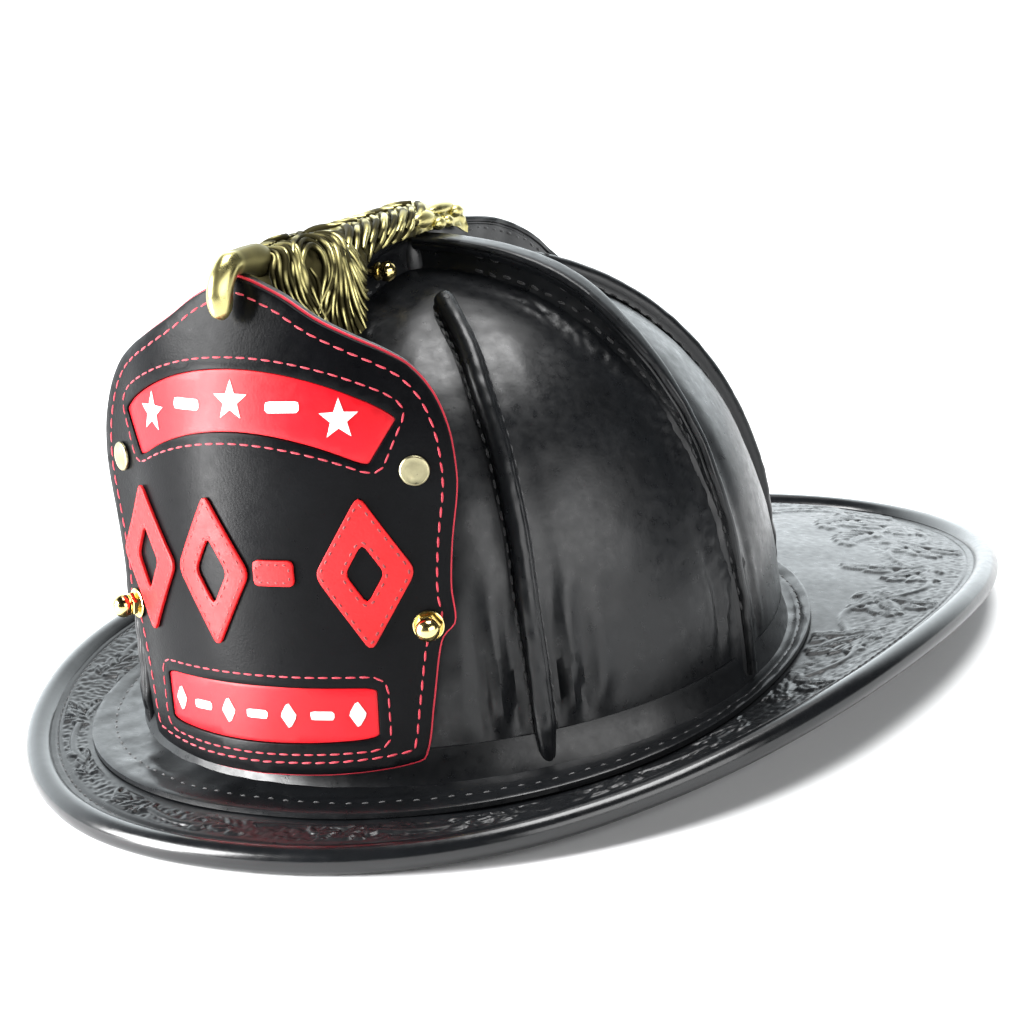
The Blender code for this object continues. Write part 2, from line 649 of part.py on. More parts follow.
def make_finial_screw(paints):
    """A screw with a ball head right through the front comb, and its nut on the far side."""
    foot = (0.0, SCREW_Y, SCREW_Z)
    screw = [(1.5, -9.0), (1.5, 4.9), (3.0, 4.9), (3.0, 5.6), (1.7, 6.0), (3.0, 7.2), (3.4, 8.8),
             (2.9, 10.4), (1.5, 11.6), (0.4, 11.9)]
    turned_solid("finial_screw", screw, foot, (1, 0, 0), paints["bright_brass"])
    nut = [(1.8, 4.9), (3.4, 4.9), (3.4, 7.6), (1.8, 7.6)]
    turned_ring("finial_nut", nut, foot, (-1, 0, 0), paints["bright_brass"], sides=12)


# ---- inside: liner and suspension ---------------------------------------------------------------


def make_liner(paints):
    dome("impact_shell", IMPACT_OUTER, IMPACT_INNER, IMPACT_LOW, paints["impact_plastic"], LINER_RISES)
    dome("foam_liner", FOAM_OUTER, FOAM_INNER, FOAM_LOW, paints["foam"], LINER_RISES)
    sections = []
    thick = Vector((0, 0, RING_HIGH - RING_LOW))
    for phi in around():
        outer, inner = crown_wall(phi, RING_LOW, RING_OUTER), crown_wall(phi, RING_LOW, RING_INNER)
        sections.append([outer, inner, inner + thick, outer + thick])
    loft("suspension_ring", sections, paints["black_plastic"], looped=True)


def make_crown_straps(paints):
    """Three webbing straps over the head, stacked where they cross, and the pad under them."""
    middle = Vector((0, CROWN_APEX_Y, 0))
    for i, (word, degrees) in enumerate(CROWN_STRAPS):
        phi = math.radians(degrees)
        top = STRAP_CROWN_Z + CROWN_STRAP_STACK * i
        first = crown_wall(phi, STRAP_FOOT_Z, STRAP_FOOT_INSET)
        last = crown_wall(phi + math.pi, STRAP_FOOT_Z, STRAP_FOOT_INSET)
        across = (last - first).cross(Vector((0, 0, 1))).normalized() * CROWN_STRAP_HALF_WIDTH
        sections = []
        for step in range(17):
            swing = math.pi * step / 16
            end = first if step <= 8 else last
            place = middle.lerp(Vector((end.x, end.y, 0)), abs(math.cos(swing)))
            rise = STRAP_FOOT_Z + (top - STRAP_FOOT_Z) * math.sin(swing)
            outer = place + Vector((0, 0, rise))
            drop = Vector((0, 0, CROWN_STRAP_THICKNESS * math.sin(swing)))
            inner = outer - drop - (place - middle) * (CROWN_STRAP_THICKNESS / 80)
            sections.append([inner - across, inner + across, outer + across, outer - across])
        loft("crown_strap_" + word, sections, paints["webbing"])
    foot = (0.0, CROWN_APEX_Y, STRAP_CROWN_Z - CROWN_PAD_DROP)
    profile = [(24.0, 0.0), (29.0, 0.8), (28.0, 2.6), (16.0, 5.6), (4.0, 6.6)]
    turned_solid("crown_pad", profile, foot, (0, 0, 1), paints["flap_cloth"], sides=24)


def head_path(grow, arm_end):
    """The front band's line from above: a straight arm, the oval front, a straight arm."""
    half = HEAD_HALF_WIDTH + grow
    line = [(half, arm_end), (half, lerp(arm_end, HEAD_Y, 0.5))]
    for i in range(17):
        angle = math.radians(90 - 180 * i / 16)
        line.append((half * math.sin(angle), HEAD_Y - (HEAD_FRONT_REACH + grow) * math.cos(angle)))
    return line + [(-x, y) for x, y in reversed(line[:2])]


def nape_path(radius, arm_end, half_angle=90.0, steps=16):
    """The rear band's line from above, on a circle about the nape centre."""
    line = []
    for i in range(steps + 1):
        angle = math.radians(lerp(half_angle, -half_angle, i / steps))
        line.append((radius * math.sin(angle), NAPE_Y + radius * math.cos(angle)))
    if arm_end is not None:
        line = [(radius, arm_end)] + line + [(-radius, arm_end)]
    return line


def upright_band(name, inner, outer, low, high, paint):
    """A band standing on edge between two lines seen from above."""
    sections = []
    for (xi, yi), (xo, yo) in zip(inner, outer):
        sections.append([(xi, yi, low), (xo, yo, low), (xo, yo, high), (xi, yi, high)])
    return loft(name, sections, paint)


def make_headband(paints):
    arm_end = HEAD_Y + 50.0
    upright_band("headband_front", head_path(0.0, arm_end), head_path(BAND_THICKNESS, arm_end),
                 FRONT_BAND_LOW, BAND_HIGH, paints["black_plastic"])
    pad = head_path(-0.5, arm_end)[4:-4]
    pad_inner = head_path(-4.5, arm_end)[4:-4]
    upright_band("brow_pad", pad_inner, pad, BAND_LOW + 1.0, BAND_HIGH - 1.5, paints["pad_leather"])

    front_end = NAPE_Y - 14.0
    rear = upright_band("headband_rear", nape_path(NAPE_RADIUS - BAND_THICKNESS, front_end),
                        nape_path(NAPE_RADIUS, front_end), BAND_LOW + 0.5, BAND_HIGH - 1.0,
                        paints["black_plastic"])
    nape_pad = upright_band("nape_pad", nape_path(73.4, None, 44.0, 10), nape_path(77.3, None, 44.0, 10),
                            BAND_LOW + 2.0, BAND_HIGH - 3.0, paints["pad_leather"])
    for piece in (rear, nape_pad):
        set_pivot(piece, (0.0, NAPE_Y, KNOB_Z))
    make_ratchet(paints)


def make_ratchet(paints):
    """The size adjuster at the nape: housing, two racks, pinion and knob."""
    plastic = paints["black_plastic"]
    pivot = (0.0, NAPE_Y, KNOB_Z)
    channel = [(79.8, 33.5), (86.0, 33.5), (86.0, 61.5), (79.8, 61.5), (79.8, 59.5), (84.2, 59.5),
               (84.2, 35.5), (79.8, 35.5)]
    sections = []
    for i in range(9):
        angle = math.radians(lerp(-21, 21, i / 8))
        sections.append([(r * math.sin(angle), NAPE_Y + r * math.cos(angle), z) for r, z in channel])
    housing = loft("ratchet_housing", sections, plastic)
    shaft_hole = (0.0, NAPE_Y + 85.0, KNOB_Z)
    drill(housing, shaft_hole, (0, 1, 0), 3.4, 8.0, plastic)
    set_pivot(housing, pivot)

    tooth = 2 * math.pi * PINION_PITCH_RADIUS / PINION_TEETH / RACK_RADIUS
    for side, word, up in ((1, "left", 1), (-1, "right", -1)):
        rack = []
        steps = 36
        for i in range(steps + 1):
            # half-tooth stations, laid out so that a tooth's tip is over the pinion's top
            angle = tooth * 0.5 * (i - 12) * side
            tip = PINION_PITCH_RADIUS + (-0.1 if i % 2 == 0 else 1.1)
            near, far = KNOB_Z + up * tip, KNOB_Z + up * 11.3
            rack.append([(r * math.sin(angle), NAPE_Y + r * math.cos(angle), z)
                         for r, z in ((79.8, near), (81.2, near), (81.2, far), (79.8, far))])
        set_pivot(loft("rack_" + word, rack, plastic), pivot)

    rings = []
    for depth in (79.9, 83.8):
        ring = []
        for i in range(2 * PINION_TEETH):
            # a valley faces each rack
            angle = math.pi * i / PINION_TEETH
            radius = 5.35 if i % 2 == 0 else 6.45
            ring.append((radius * math.sin(angle), NAPE_Y + depth, KNOB_Z + radius * math.cos(angle)))
        rings.append(ring)
    for depth in (83.8, 92.0):
        rings.append([(2.9 * math.sin(a), NAPE_Y + depth, KNOB_Z + 2.9 * math.cos(a))
                      for a in around(2 * PINION_TEETH)])
    set_pivot(loft("ratchet_pinion", rings, paints["black_plastic"]), (0.0, NAPE_Y + 83.0, KNOB_Z))

    rings = []
    for radius, depth in ((3.2, 92.4), (3.2, 86.4), (15.5, 86.4), (16.0, 88.0), (16.0, 92.5), (14.5, 94.2),
                          (6.0, 94.6)):
        ring = []
        for i, angle in enumerate(around(32)):
            grip = 0.7 if i % 4 == 0 and 15 < radius and depth > 87 else 0.0
            ring.append(((radius - grip) * math.sin(angle), NAPE_Y + depth,
                         KNOB_Z + (radius - grip) * math.cos(angle)))
        rings.append(ring)
    set_pivot(loft("ratchet_knob", rings, plastic), (0.0, NAPE_Y + 86.0, KNOB_Z))


def make_ear_flap(paints):
    """The ear and neck protector, folded up between the rear headband and the crown."""
    sections = []
    for i in range(21):
        phi = math.radians(lerp(FLAP_FROM, FLAP_TO, i / 20))
        outer, inner = (crown_wall(phi, FLAP_LEVEL, inset) for inset in (FLAP_OUTER, FLAP_INNER))
        sections.append([(inner.x, inner.y, FLAP_LOW), (outer.x, outer.y, FLAP_LOW),
                         (outer.x, outer.y, FLAP_HIGH), (inner.x, inner.y, FLAP_HIGH)])
    loft("ear_neck_flap", sections, paints["flap_cloth"])


# ---- chin strap ---------------------------------------------------------------------------------


def strap_arm(y):
    """The height of the webbing's middle along its straight arms."""
    (y0, z0), (y1, z1) = STRAP_PIVOT, STRAP_BEND
    return lerp(z0, z1, (y - y0) / (y1 - y0))


def webbing_section(x, y, out_x, out_y):
    z = strap_arm(max(y, STRAP_BEND[0]))
    half = STRAP_THICKNESS / 2
    low, high = z - STRAP_HEIGHT / 2, z + STRAP_HEIGHT / 2
    return [(x - out_x * half, y - out_y * half, low), (x + out_x * half, y + out_y * half, low),
            (x + out_x * half, y + out_y * half, high), (x - out_x * half, y - out_y * half, high)]


def make_chin_strap(paints):
    web = paints["webbing"]
    pivot_y, pivot_z = STRAP_PIVOT
    end_y = pivot_y + 7.5
    left = [webbing_section(STRAP_X, y, 1, 0) for y in (end_y, pivot_y - 7.0)]
    left_strap = loft("chin_strap_left", left, web)

    sections = [webbing_section(STRAP_X, y, 1, 0) for y in (BUCKLE_Y + 3.0, STRAP_BEND[0] + 4)]
    for i in range(17):
        angle = math.radians(90 - 180 * i / 16)
        x = STRAP_X * math.sin(angle)
        y = STRAP_BEND[0] - STRAP_LOOP_DEPTH * math.cos(angle)
        normal = Vector((math.sin(angle) / STRAP_X, -math.cos(angle) / STRAP_LOOP_DEPTH)).normalized()
        sections.append(webbing_section(x, y, normal.x, normal.y))
    sections += [webbing_section(-STRAP_X, y, -1, 0) for y in (STRAP_BEND[0] + 4, end_y)]
    right_strap = loft("chin_strap_right", sections, web)

    for side, strap in ((1, left_strap), (-1, right_strap)):
        word = "left" if side > 0 else "right"
        middle = (side * STRAP_X, pivot_y, pivot_z)
        drill(strap, middle, (1, 0, 0), 2.8, 8.0, web, sides=12)
        set_pivot(strap, (0.0, pivot_y, pivot_z))
        wall = crown_wall(math.radians(101), pivot_z, CROWN_WALL).x - 2.4
        reach = wall - STRAP_X
        profile = [(6.5, 0.0), (6.5, 1.6), (2.4, 1.6), (2.4, reach + 1.6), (4.2, reach + 1.6),
                   (4.2, reach + 2.8)]
        turned_solid("strap_stud_" + word, profile, (side * wall, pivot_y, pivot_z), (-side, 0, 0),
                     paints["steel"])
    make_buckle(paints)


def sleeve(name, y0, y1, half_thick, half_height, paint, x=STRAP_X):
    """A block on the webbing's slanted arm."""
    ends = []
    for y in (y0, y1):
        z = strap_arm(y)
        ends.append([(x - half_thick, y, z - half_height), (x + half_thick, y, z - half_height),
                     (x + half_thick, y, z + half_height), (x - half_thick, y, z + half_height)])
    return loft(name, ends, paint)


def make_buckle(paints):
    plastic = paints["black_plastic"]
    pivot = (0.0, STRAP_PIVOT[0], STRAP_PIVOT[1])
    slot = (SLOT_HALF_THICK, SLOT_HALF_HEIGHT)
    female = sleeve("buckle_female", BUCKLE_Y, BUCKLE_REAR_Y, BUCKLE_HALF_THICK, BUCKLE_HALF_HEIGHT, plastic)
    cut(female, sleeve("cut_buckle_mouth", BUCKLE_Y - 5.0, BUCKLE_Y + 13.4, 2.1, 10.2, plastic))
    cut(female, sleeve("cut_buckle_slot", BUCKLE_REAR_Y - 3.2, BUCKLE_REAR_Y + 7.0, *slot, plastic))
    set_pivot(female, pivot)

    ends = []
    step = BUCKLE_Y - GAP - 0.1
    for y, half_thick, half_height in ((BUCKLE_Y + 12.8, 1.8, 9.8), (step, 1.8, 9.8),
                                       (step - 0.01, BUCKLE_HALF_THICK, BUCKLE_HALF_HEIGHT),
                                       (BUCKLE_Y - 16.0, BUCKLE_HALF_THICK, BUCKLE_HALF_HEIGHT)):
        z = strap_arm(y)
        ends.append([(STRAP_X + a * half_thick, y, z + b * half_height)
                     for a, b in ((-1, -1), (1, -1), (1, 1), (-1, 1))])
    male = loft("buckle_male", ends, plastic)
    cut(male, sleeve("cut_male_slot", BUCKLE_Y - 20.0, BUCKLE_Y + 16.0, *slot, plastic))
    set_pivot(male, (STRAP_X, BUCKLE_Y, strap_arm(BUCKLE_Y)))

    slide = sleeve("postman_slide", SLIDE_Y - 5, SLIDE_Y + 5, 2.4, 10.4, paints["steel"], x=-STRAP_X)
    cut(slide, sleeve("cut_slide_slot", SLIDE_Y - 9, SLIDE_Y + 9, *slot, plastic, x=-STRAP_X))
    set_pivot(slide, (-STRAP_X, SLIDE_Y, strap_arm(SLIDE_Y)))


# ---- hanging ring under the tail ----------------------------------------------------------------


def make_hanger(paints):
    """A steel ring on a small bracket under the tail, for hanging the helmet up."""
    steel = paints["steel"]
    bracket = box("hanger_bracket", (-6.0, HANGER_Y - 4.0, HANGER_Z - 3.4),
                  (6.0, HANGER_Y + 4.0, HANGER_Z + 2.7), steel)
    drill(bracket, (0.0, HANGER_Y, HANGER_Z), (1, 0, 0), RING_WIRE + 0.35, 20.0, steel)
    line = [(-9.5, 0.0), (-4.0, 0.0), (4.0, 0.0), (9.5, 0.0)]
    for i in range(9):
        angle = math.radians(20 - 220 * i / 8)
        line.append((RING_BEND_RADIUS * math.cos(angle), -6.5 + RING_BEND_RADIUS * math.sin(angle)))
    sections = []
    for i, (x, z) in enumerate(line):
        before, after = Vector(line[i - 1]), Vector(line[(i + 1) % len(line)])
        out = (after - before).normalized()
        normal = Vector((out.y, 0, -out.x))
        sections.append([Vector((x, HANGER_Y, HANGER_Z + z)) + normal * (RING_WIRE * math.cos(a))
                         + Vector((0, RING_WIRE * math.sin(a), 0)) for a in around(8)])
    set_pivot(loft("hanger_ring", sections, steel, looped=True), (0.0, HANGER_Y, HANGER_Z))


# ---- assembly -----------------------------------------------------------------------------------


def clear_scene():
    for old in list(bpy.data.objects):
        bpy.data.objects.remove(old)


def main():
    clear_scene()
    paints = make_paints()
    leather = paints["black_leather"]
    dome("crown_shell", 0.0, CROWN_WALL, None, leather, (0.0, 0.13, 0.27, 0.41, 0.55, 0.69, 0.83, 0.95))
    make_brim(leather)
    make_edge_roll(leather)
    make_brim_wire(paints["steel"])
    make_welt(leather)
    for name, degrees, crest, reach in COMBS:
        comb = make_comb(name, math.radians(degrees), crest, reach, leather)
        if name == "comb_front":
            drill(comb, (0.0, SCREW_Y, SCREW_Z), (1, 0, 0), 1.8, 20.0, leather, sides=12)
    for name, degrees in RIBS:
        make_rib(name, math.radians(degrees), leather)
    make_comb_saddle(leather)
    make_shield(paints)
    make_eagle(paints["antique_brass"])
    make_finial_screw(paints)
    make_liner(paints)
    make_crown_straps(paints)
    make_headband(paints)
    make_ear_flap(paints)
    make_chin_strap(paints)
    make_hanger(paints)


main()
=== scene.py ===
"""The looks of a traditional leather firefighter helmet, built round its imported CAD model.

Lengths are in millimetres in the CAD's frame, and MM turns them into Blender's metres.
The floor is z = 0, the front faces -Y and the wearer's left is +X.
Angles called phi go round the helmet: 0 is the front and a quarter turn is the wearer's left.
"""

import math

import bmesh
import bpy
import numpy as np
from mathutils import Matrix, Vector
from mathutils.geometry import delaunay_2d_cdt


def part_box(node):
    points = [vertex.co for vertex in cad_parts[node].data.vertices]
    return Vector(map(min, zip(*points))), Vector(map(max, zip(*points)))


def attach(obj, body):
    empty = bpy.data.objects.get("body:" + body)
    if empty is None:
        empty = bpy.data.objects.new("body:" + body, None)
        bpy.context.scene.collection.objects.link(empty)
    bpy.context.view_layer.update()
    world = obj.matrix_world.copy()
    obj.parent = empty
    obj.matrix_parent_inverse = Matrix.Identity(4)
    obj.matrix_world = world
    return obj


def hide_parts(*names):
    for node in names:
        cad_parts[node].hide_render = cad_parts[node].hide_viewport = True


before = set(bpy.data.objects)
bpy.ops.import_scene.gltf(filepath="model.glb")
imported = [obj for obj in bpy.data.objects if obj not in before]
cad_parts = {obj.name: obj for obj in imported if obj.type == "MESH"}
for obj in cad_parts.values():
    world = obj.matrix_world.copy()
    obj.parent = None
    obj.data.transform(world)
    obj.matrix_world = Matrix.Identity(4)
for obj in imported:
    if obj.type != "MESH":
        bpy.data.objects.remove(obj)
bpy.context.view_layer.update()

MM = 0.001
TAU = 2 * math.pi
X = np.array([1.0, 0.0, 0.0])
Z = np.array([0.0, 0.0, 1.0])


def box_mm(node):
    """The two corners of a CAD node's box, in millimetres."""
    low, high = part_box(node)
    return np.array(low) / MM, np.array(high) / MM


# ---- driving dimensions, from the frame where it has them ---------------------------------------

ROLL_RADIUS = 4.5
BRIM_HALF_WIDTH = box_mm("brim_edge_roll")[1][0] - ROLL_RADIUS
BRIM_HALF_LENGTH = box_mm("brim_edge_roll")[1][1] - ROLL_RADIUS
BRIM_WIDEST_Y = -25.85
BRIM_SQUARENESS = 0.95
BRIM_SIDE_LIFT = 16.8
BRIM_THICKNESS = 3.5
NECK_INSET = 5.4                        # from the roll's centre line in to the brim's flat part

CROWN_Y = -50.6
CROWN_APEX_Y = -60.8
CROWN_HALF_WIDTH = box_mm("crown_shell")[1][0]
CROWN_FRONT_REACH = CROWN_Y - box_mm("crown_shell")[0][1]
CROWN_REAR_REACH = box_mm("crown_shell")[1][1] - CROWN_Y
CROWN_TOP_Z = 155.9
CROWN_WALL = 3.5
CROWN_SIDE_POWER = 2.136
CROWN_HEIGHT_POWER = 2.445
CROWN_SKIRT = 2.2
BASE_Z, BASE_SLOPE, BASE_CURVE = 18.7, 0.082, 0.0002

WELT_Y = -64.15
WELT_HALF_WIDTH = 116.6
WELT_FRONT_REACH, WELT_REAR_REACH = 118.5, 133.9
WELT_THICKNESS = 2.2
GAP = 0.3

SHIELD_BEND_RADIUS = 92.84
SHIELD_TILT = math.radians(1.78)
SHIELD_FOOT_Y, SHIELD_FOOT_Z = -172.95, 19.3
SHIELD_LEAN, SHIELD_LEAN_FROM, SHIELD_LEAN_SPAN = 11.5, 92.0, 62.0
SHIELD_FLARE, SHIELD_FLARE_FROM, SHIELD_FLARE_SPAN = 3.4, 50.0, 20.0
SHIELD_OUTLINE = ((50.4, 3.5), (55.3, 7.8), (58.5, 23.4), (62.1, 41.3), (66.7, 47.6), (66.4, 58.6),
                  (67.8, 72.4), (70.3, 87.5), (70.5, 96.7), (69.0, 107.6), (64.8, 118.1), (58.0, 126.1),
                  (49.5, 131.3), (39.5, 135.9), (27.8, 141.5), (16.5, 148.0), (3.0, 153.5))

RIVET_U, RIVET_V = 58.1, 95.1           # across and up on the shield's face
NUT_U, NUT_V = 58.3, 47.1
SCREW_FOOT = (0.0, -88.0, 160.5)

# name, turn from the front in degrees, crest height, rise at which the crest is reached
COMBS = (("comb_front", 0, 14.5, 0.6), ("comb_left", 90, 13.0, 0.95), ("comb_rear", 180, 15.5, 0.5),
         ("comb_right", 270, 13.0, 0.95))
RIBS = (("rib_front_left", 45), ("rib_rear_left", 135), ("rib_rear_right", 225), ("rib_front_right", 315))

CAMERA_PLACE = (582.19, -939.23, 340.38)
CAMERA_AZIMUTH, CAMERA_ELEVATION, CAMERA_ROLL = 32.175, 14.360, -5.633
CAMERA_LENS = 114.64


# ---- numbers and curves -------------------------------------------------------------------------


def lerp(a, b, share):
    return a + (b - a) * share


def smooth(share):
    share = np.clip(share, 0.0, 1.0)
    return share * share * (3 - 2 * share)


def power(value, exponent):
    return np.sign(value) * np.abs(value) ** exponent


def unit(vectors):
    return vectors / np.maximum(np.linalg.norm(vectors, axis=-1, keepdims=True), 1e-9)


def spline(points, count, closed=False):
    """Points evenly spaced in parameter along a Catmull-Rom curve through the given ones."""
    points = np.asarray(points, float)
    size = len(points)
    spans = size if closed else size - 1
    t = np.arange(count) * spans / (count if closed else count - 1)
    i = np.minimum(t.astype(int), spans - 1)
    f = (t - i)[:, None]
    if closed:
        p0, p1, p2, p3 = (points[(i + k) % size] for k in (-1, 0, 1, 2))
    else:
        padded = np.vstack([2 * points[0] - points[1], points, 2 * points[-1] - points[-2]])
        p0, p1, p2, p3 = (padded[i + k] for k in (0, 1, 2, 3))
    return p1 + 0.5 * f * (p2 - p0 + f * (2 * p0 - 5 * p1 + 4 * p2 - p3 + f * (3 * (p1 - p2) + p3 - p0)))


def travel(points):
    """Distance travelled along a line of points."""
    return np.concatenate([[0.0], np.cumsum(np.linalg.norm(np.diff(points, axis=0), axis=1))])


def respace(points, step=None, count=None):
    """The same line with its points an equal distance apart."""
    points = np.asarray(points, float)
    along = travel(points)
    count = count or max(2, int(round(along[-1] / step)) + 1)
    wanted = np.linspace(0, along[-1], count)
    return np.stack([np.interp(wanted, along, points[:, k]) for k in range(points.shape[1])], axis=1)


def ripples(points, wavelength, seed, waves=40):
    """A smooth random height of about unit size, the same on every run."""
    rng = np.random.default_rng(seed)
    total = np.zeros(points.shape[:-1])
    for _ in range(waves):
        direction = unit(rng.normal(size=3)) * TAU / (wavelength * rng.uniform(0.75, 1.5))
        total += np.cos(points @ direction + rng.uniform(0, TAU))
    return total * math.sqrt(2 / waves)


def turns(count):
    """Angles evenly spaced round a circle."""
    return np.arange(count) * TAU / count


def joined(x, y, z):
    """Points from their coordinates, each a number or an array."""
    return np.stack(np.broadcast_arrays(x, y, z), axis=-1)


def bezier(start, corner, end, share):
    """A point on the curve that leaves towards a corner and arrives from it."""
    return (1 - share) ** 2 * start + 2 * share * (1 - share) * corner + share * share * end


def closed_line(loop, step):
    """A closed outline with its points an equal distance apart."""
    loop = np.asarray(loop, float)
    return respace(np.vstack([loop, loop[:1]]), step=step)[:-1]


def level_ring(middle, radius, z, angle):
    """A level circle of points; z is one height or a height for each point."""
    return joined(middle[0] + radius * np.cos(angle), middle[1] + radius * np.sin(angle), z)


# ---- shapes that several pieces share -----------------------------------------------------------


def brim_edge(phi):
    """The centre line of the brim's rolled edge."""
    reach = np.where(np.cos(phi) > 0, BRIM_HALF_LENGTH + BRIM_WIDEST_Y, BRIM_HALF_LENGTH - BRIM_WIDEST_Y)
    x = BRIM_HALF_WIDTH * power(np.sin(phi), BRIM_SQUARENESS)
    y = BRIM_WIDEST_Y - reach * power(np.cos(phi), BRIM_SQUARENESS)
    return np.stack([x, y, ROLL_RADIUS + BRIM_SIDE_LIFT * np.abs(np.sin(phi)) ** 3.08], axis=-1)


def edge_out(phi):
    """The level direction out of the rolled edge."""
    along = brim_edge(phi + math.radians(1.5)) - brim_edge(phi - math.radians(1.5))
    return unit(np.stack([along[..., 1], -along[..., 0], 0 * phi], axis=-1))


def base_height(y):
    back = y - CROWN_Y
    return BASE_Z + BASE_SLOPE * back + BASE_CURVE * back * back


def crown_plan(phi, inset=0.0):
    """The crown's base outline as x and the distance behind the crown's centre."""
    reach = np.where(np.cos(phi) > 0, CROWN_FRONT_REACH, CROWN_REAR_REACH)
    return (CROWN_HALF_WIDTH - inset) * np.sin(phi), -(reach - inset) * np.cos(phi)


def crown_point(phi, rise, inset=0.0):
    """A point on the dome; rise is 0 at the base and 1 at the apex."""
    phi, rise = np.broadcast_arrays(np.asarray(phi, float), np.asarray(rise, float))
    spread = np.maximum(np.cos(rise * math.pi / 2), 1e-9) ** (2 / CROWN_SIDE_POWER)
    lift = np.maximum(np.sin(rise * math.pi / 2), 0) ** (2 / CROWN_HEIGHT_POWER)
    x, back = crown_plan(phi, inset)
    low = base_height(CROWN_Y + crown_plan(phi)[1])
    y = CROWN_Y + back * spread + (CROWN_APEX_Y - CROWN_Y) * (1 - spread)
    return np.stack([x * spread, y, lerp(low, CROWN_TOP_Z - inset, lift)], axis=-1)


def crown_wall(phi, z, inset):
    """The point of the dome at a stated height."""
    low = base_height(CROWN_Y + crown_plan(phi)[1])
    lift = np.clip((z - low) / (CROWN_TOP_Z - inset - low), 0, 1)
    spread = (1 - lift ** CROWN_HEIGHT_POWER) ** (1 / CROWN_SIDE_POWER)
    x, back = crown_plan(phi, inset)
    y = CROWN_Y + back * spread + (CROWN_APEX_Y - CROWN_Y) * (1 - spread)
    return joined(x * spread, y, z)


def crown_frame(phi, rise):
    """Points of the dome with their outward and sideways directions."""
    rise = np.asarray(rise, float)
    along = crown_point(phi, np.minimum(rise + 0.004, 1)) - crown_point(phi, np.maximum(rise - 0.004, 0))
    side = np.broadcast_to(np.array([math.cos(phi), math.sin(phi), 0.0]), along.shape)
    outward = unit(np.cross(side, along))
    return crown_point(phi, rise), outward, unit(np.cross(along, outward))


def welt_rim(phi):
    """The outer edge of the stitched welt, on the brim."""
    reach = np.where(np.cos(phi) > 0, WELT_FRONT_REACH, WELT_REAR_REACH)
    x = WELT_HALF_WIDTH * power(np.sin(phi), 0.93)
    y = WELT_Y - reach * power(np.cos(phi), 0.93)
    z = base_height(y) + 0.6 + 2.4 * np.sin(phi) ** 2 - CROWN_SKIRT - GAP
    return np.stack([x, y, z], axis=-1)


def brim_neck(phi):
    """Where the brim's flat part meets the rolled edge."""
    return brim_edge(phi) - edge_out(phi) * NECK_INSET + Z * (BRIM_THICKNESS / 2)


def shield_point(u, v, out=0.0):
    """A point on the shield: u across, v up, out in front of its face."""
    turn = u / SHIELD_BEND_RADIUS
    flare = SHIELD_FLARE * (np.maximum(0, np.abs(u) - SHIELD_FLARE_FROM) / SHIELD_FLARE_SPAN) ** 2
    lean = SHIELD_LEAN * (np.maximum(0, v - SHIELD_LEAN_FROM) / SHIELD_LEAN_SPAN) ** 2
    radius = SHIELD_BEND_RADIUS + out + flare
    back = SHIELD_BEND_RADIUS - radius * np.cos(turn)
    y = SHIELD_FOOT_Y + lean + v * math.sin(SHIELD_TILT) + back * math.cos(SHIELD_TILT)
    z = SHIELD_FOOT_Z + v * math.cos(SHIELD_TILT) - back * math.sin(SHIELD_TILT)
    return joined(radius * np.sin(turn), y, z)


def shield_normal(u, v):
    return unit(np.cross(shield_point(u + 1, v) - shield_point(u - 1, v),
                         shield_point(u, v + 1) - shield_point(u, v - 1)))


# ---- mesh helpers -------------------------------------------------------------------------------


def grid_faces(rows, columns, wrap_rows=False, wrap_columns=False):
    i, j = np.meshgrid(np.arange(rows if wrap_rows else rows - 1),
                       np.arange(columns if wrap_columns else columns - 1), indexing="ij")
    k, l = (i + 1) % rows, (j + 1) % columns
    quads = np.stack([i * columns + j, i * columns + l, k * columns + l, k * columns + j], axis=-1)
    return quads.reshape(-1, 4).tolist()


def skin(grid, closed_rows=False):
    """Points and faces of a tube over a grid whose columns go round; its ends are capped."""
    rows, columns = grid.shape[:2]
    faces = grid_faces(rows, columns, wrap_rows=closed_rows, wrap_columns=True)
    if not closed_rows:
        faces.append(list(range(columns)))
        faces.append(list(range((rows - 1) * columns, rows * columns)))
    return grid.reshape(-1, 3), faces


def merged(parts):
    """Several (points, faces) pairs as one."""
    points, faces, base = [], [], 0
    for some, theirs in parts:
        some = np.asarray(some, float).reshape(-1, 3)
        points.append(some)
        faces += [[v + base for v in face] for face in theirs]
        base += len(some)
    return np.vstack(points), faces


def placed(name, data):
    """A new object in the scene that holds a mesh, a light or a camera."""
    made = bpy.data.objects.new(name, data)
    bpy.context.scene.collection.objects.link(made)
    return made


def piece(name, shape, paint, body="shell", stands_for=(), crease=40, painted_light=None):
    """One visible object that rides on a body and takes its finish from the paints."""
    points, faces = shape
    mesh = bpy.data.meshes.new(name)
    mesh.from_pydata((np.asarray(points).reshape(-1, 3) * MM).tolist(), [], faces)
    work = bmesh.new()
    work.from_mesh(mesh)
    bmesh.ops.recalc_face_normals(work, faces=work.faces)
    work.to_mesh(mesh)
    work.free()
    mesh.shade_smooth()
    mesh.set_sharp_from_angle(angle=math.radians(crease))
    mesh.materials.append(PAINTS[paint])
    # a painted-light value per point; the metal shader turns low values into painted shade
    if painted_light is not None:
        layer = mesh.attributes.new("painted_light", "FLOAT", "POINT")
        layer.data.foreach_set("value", np.asarray(painted_light, np.float32).ravel())
    made = placed(name, mesh)
    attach(made, body)
    if stands_for:
        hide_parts(*stands_for)
    return made


def frames_along(points, up, closed=False):
    """Side and lift directions along a line, kept square to it."""
    if closed:
        along = unit(np.roll(points, -1, axis=0) - np.roll(points, 1, axis=0))
    else:
        along = unit(np.gradient(points, axis=0))
    side = unit(np.cross(along, up))
    return side, unit(np.cross(side, along))


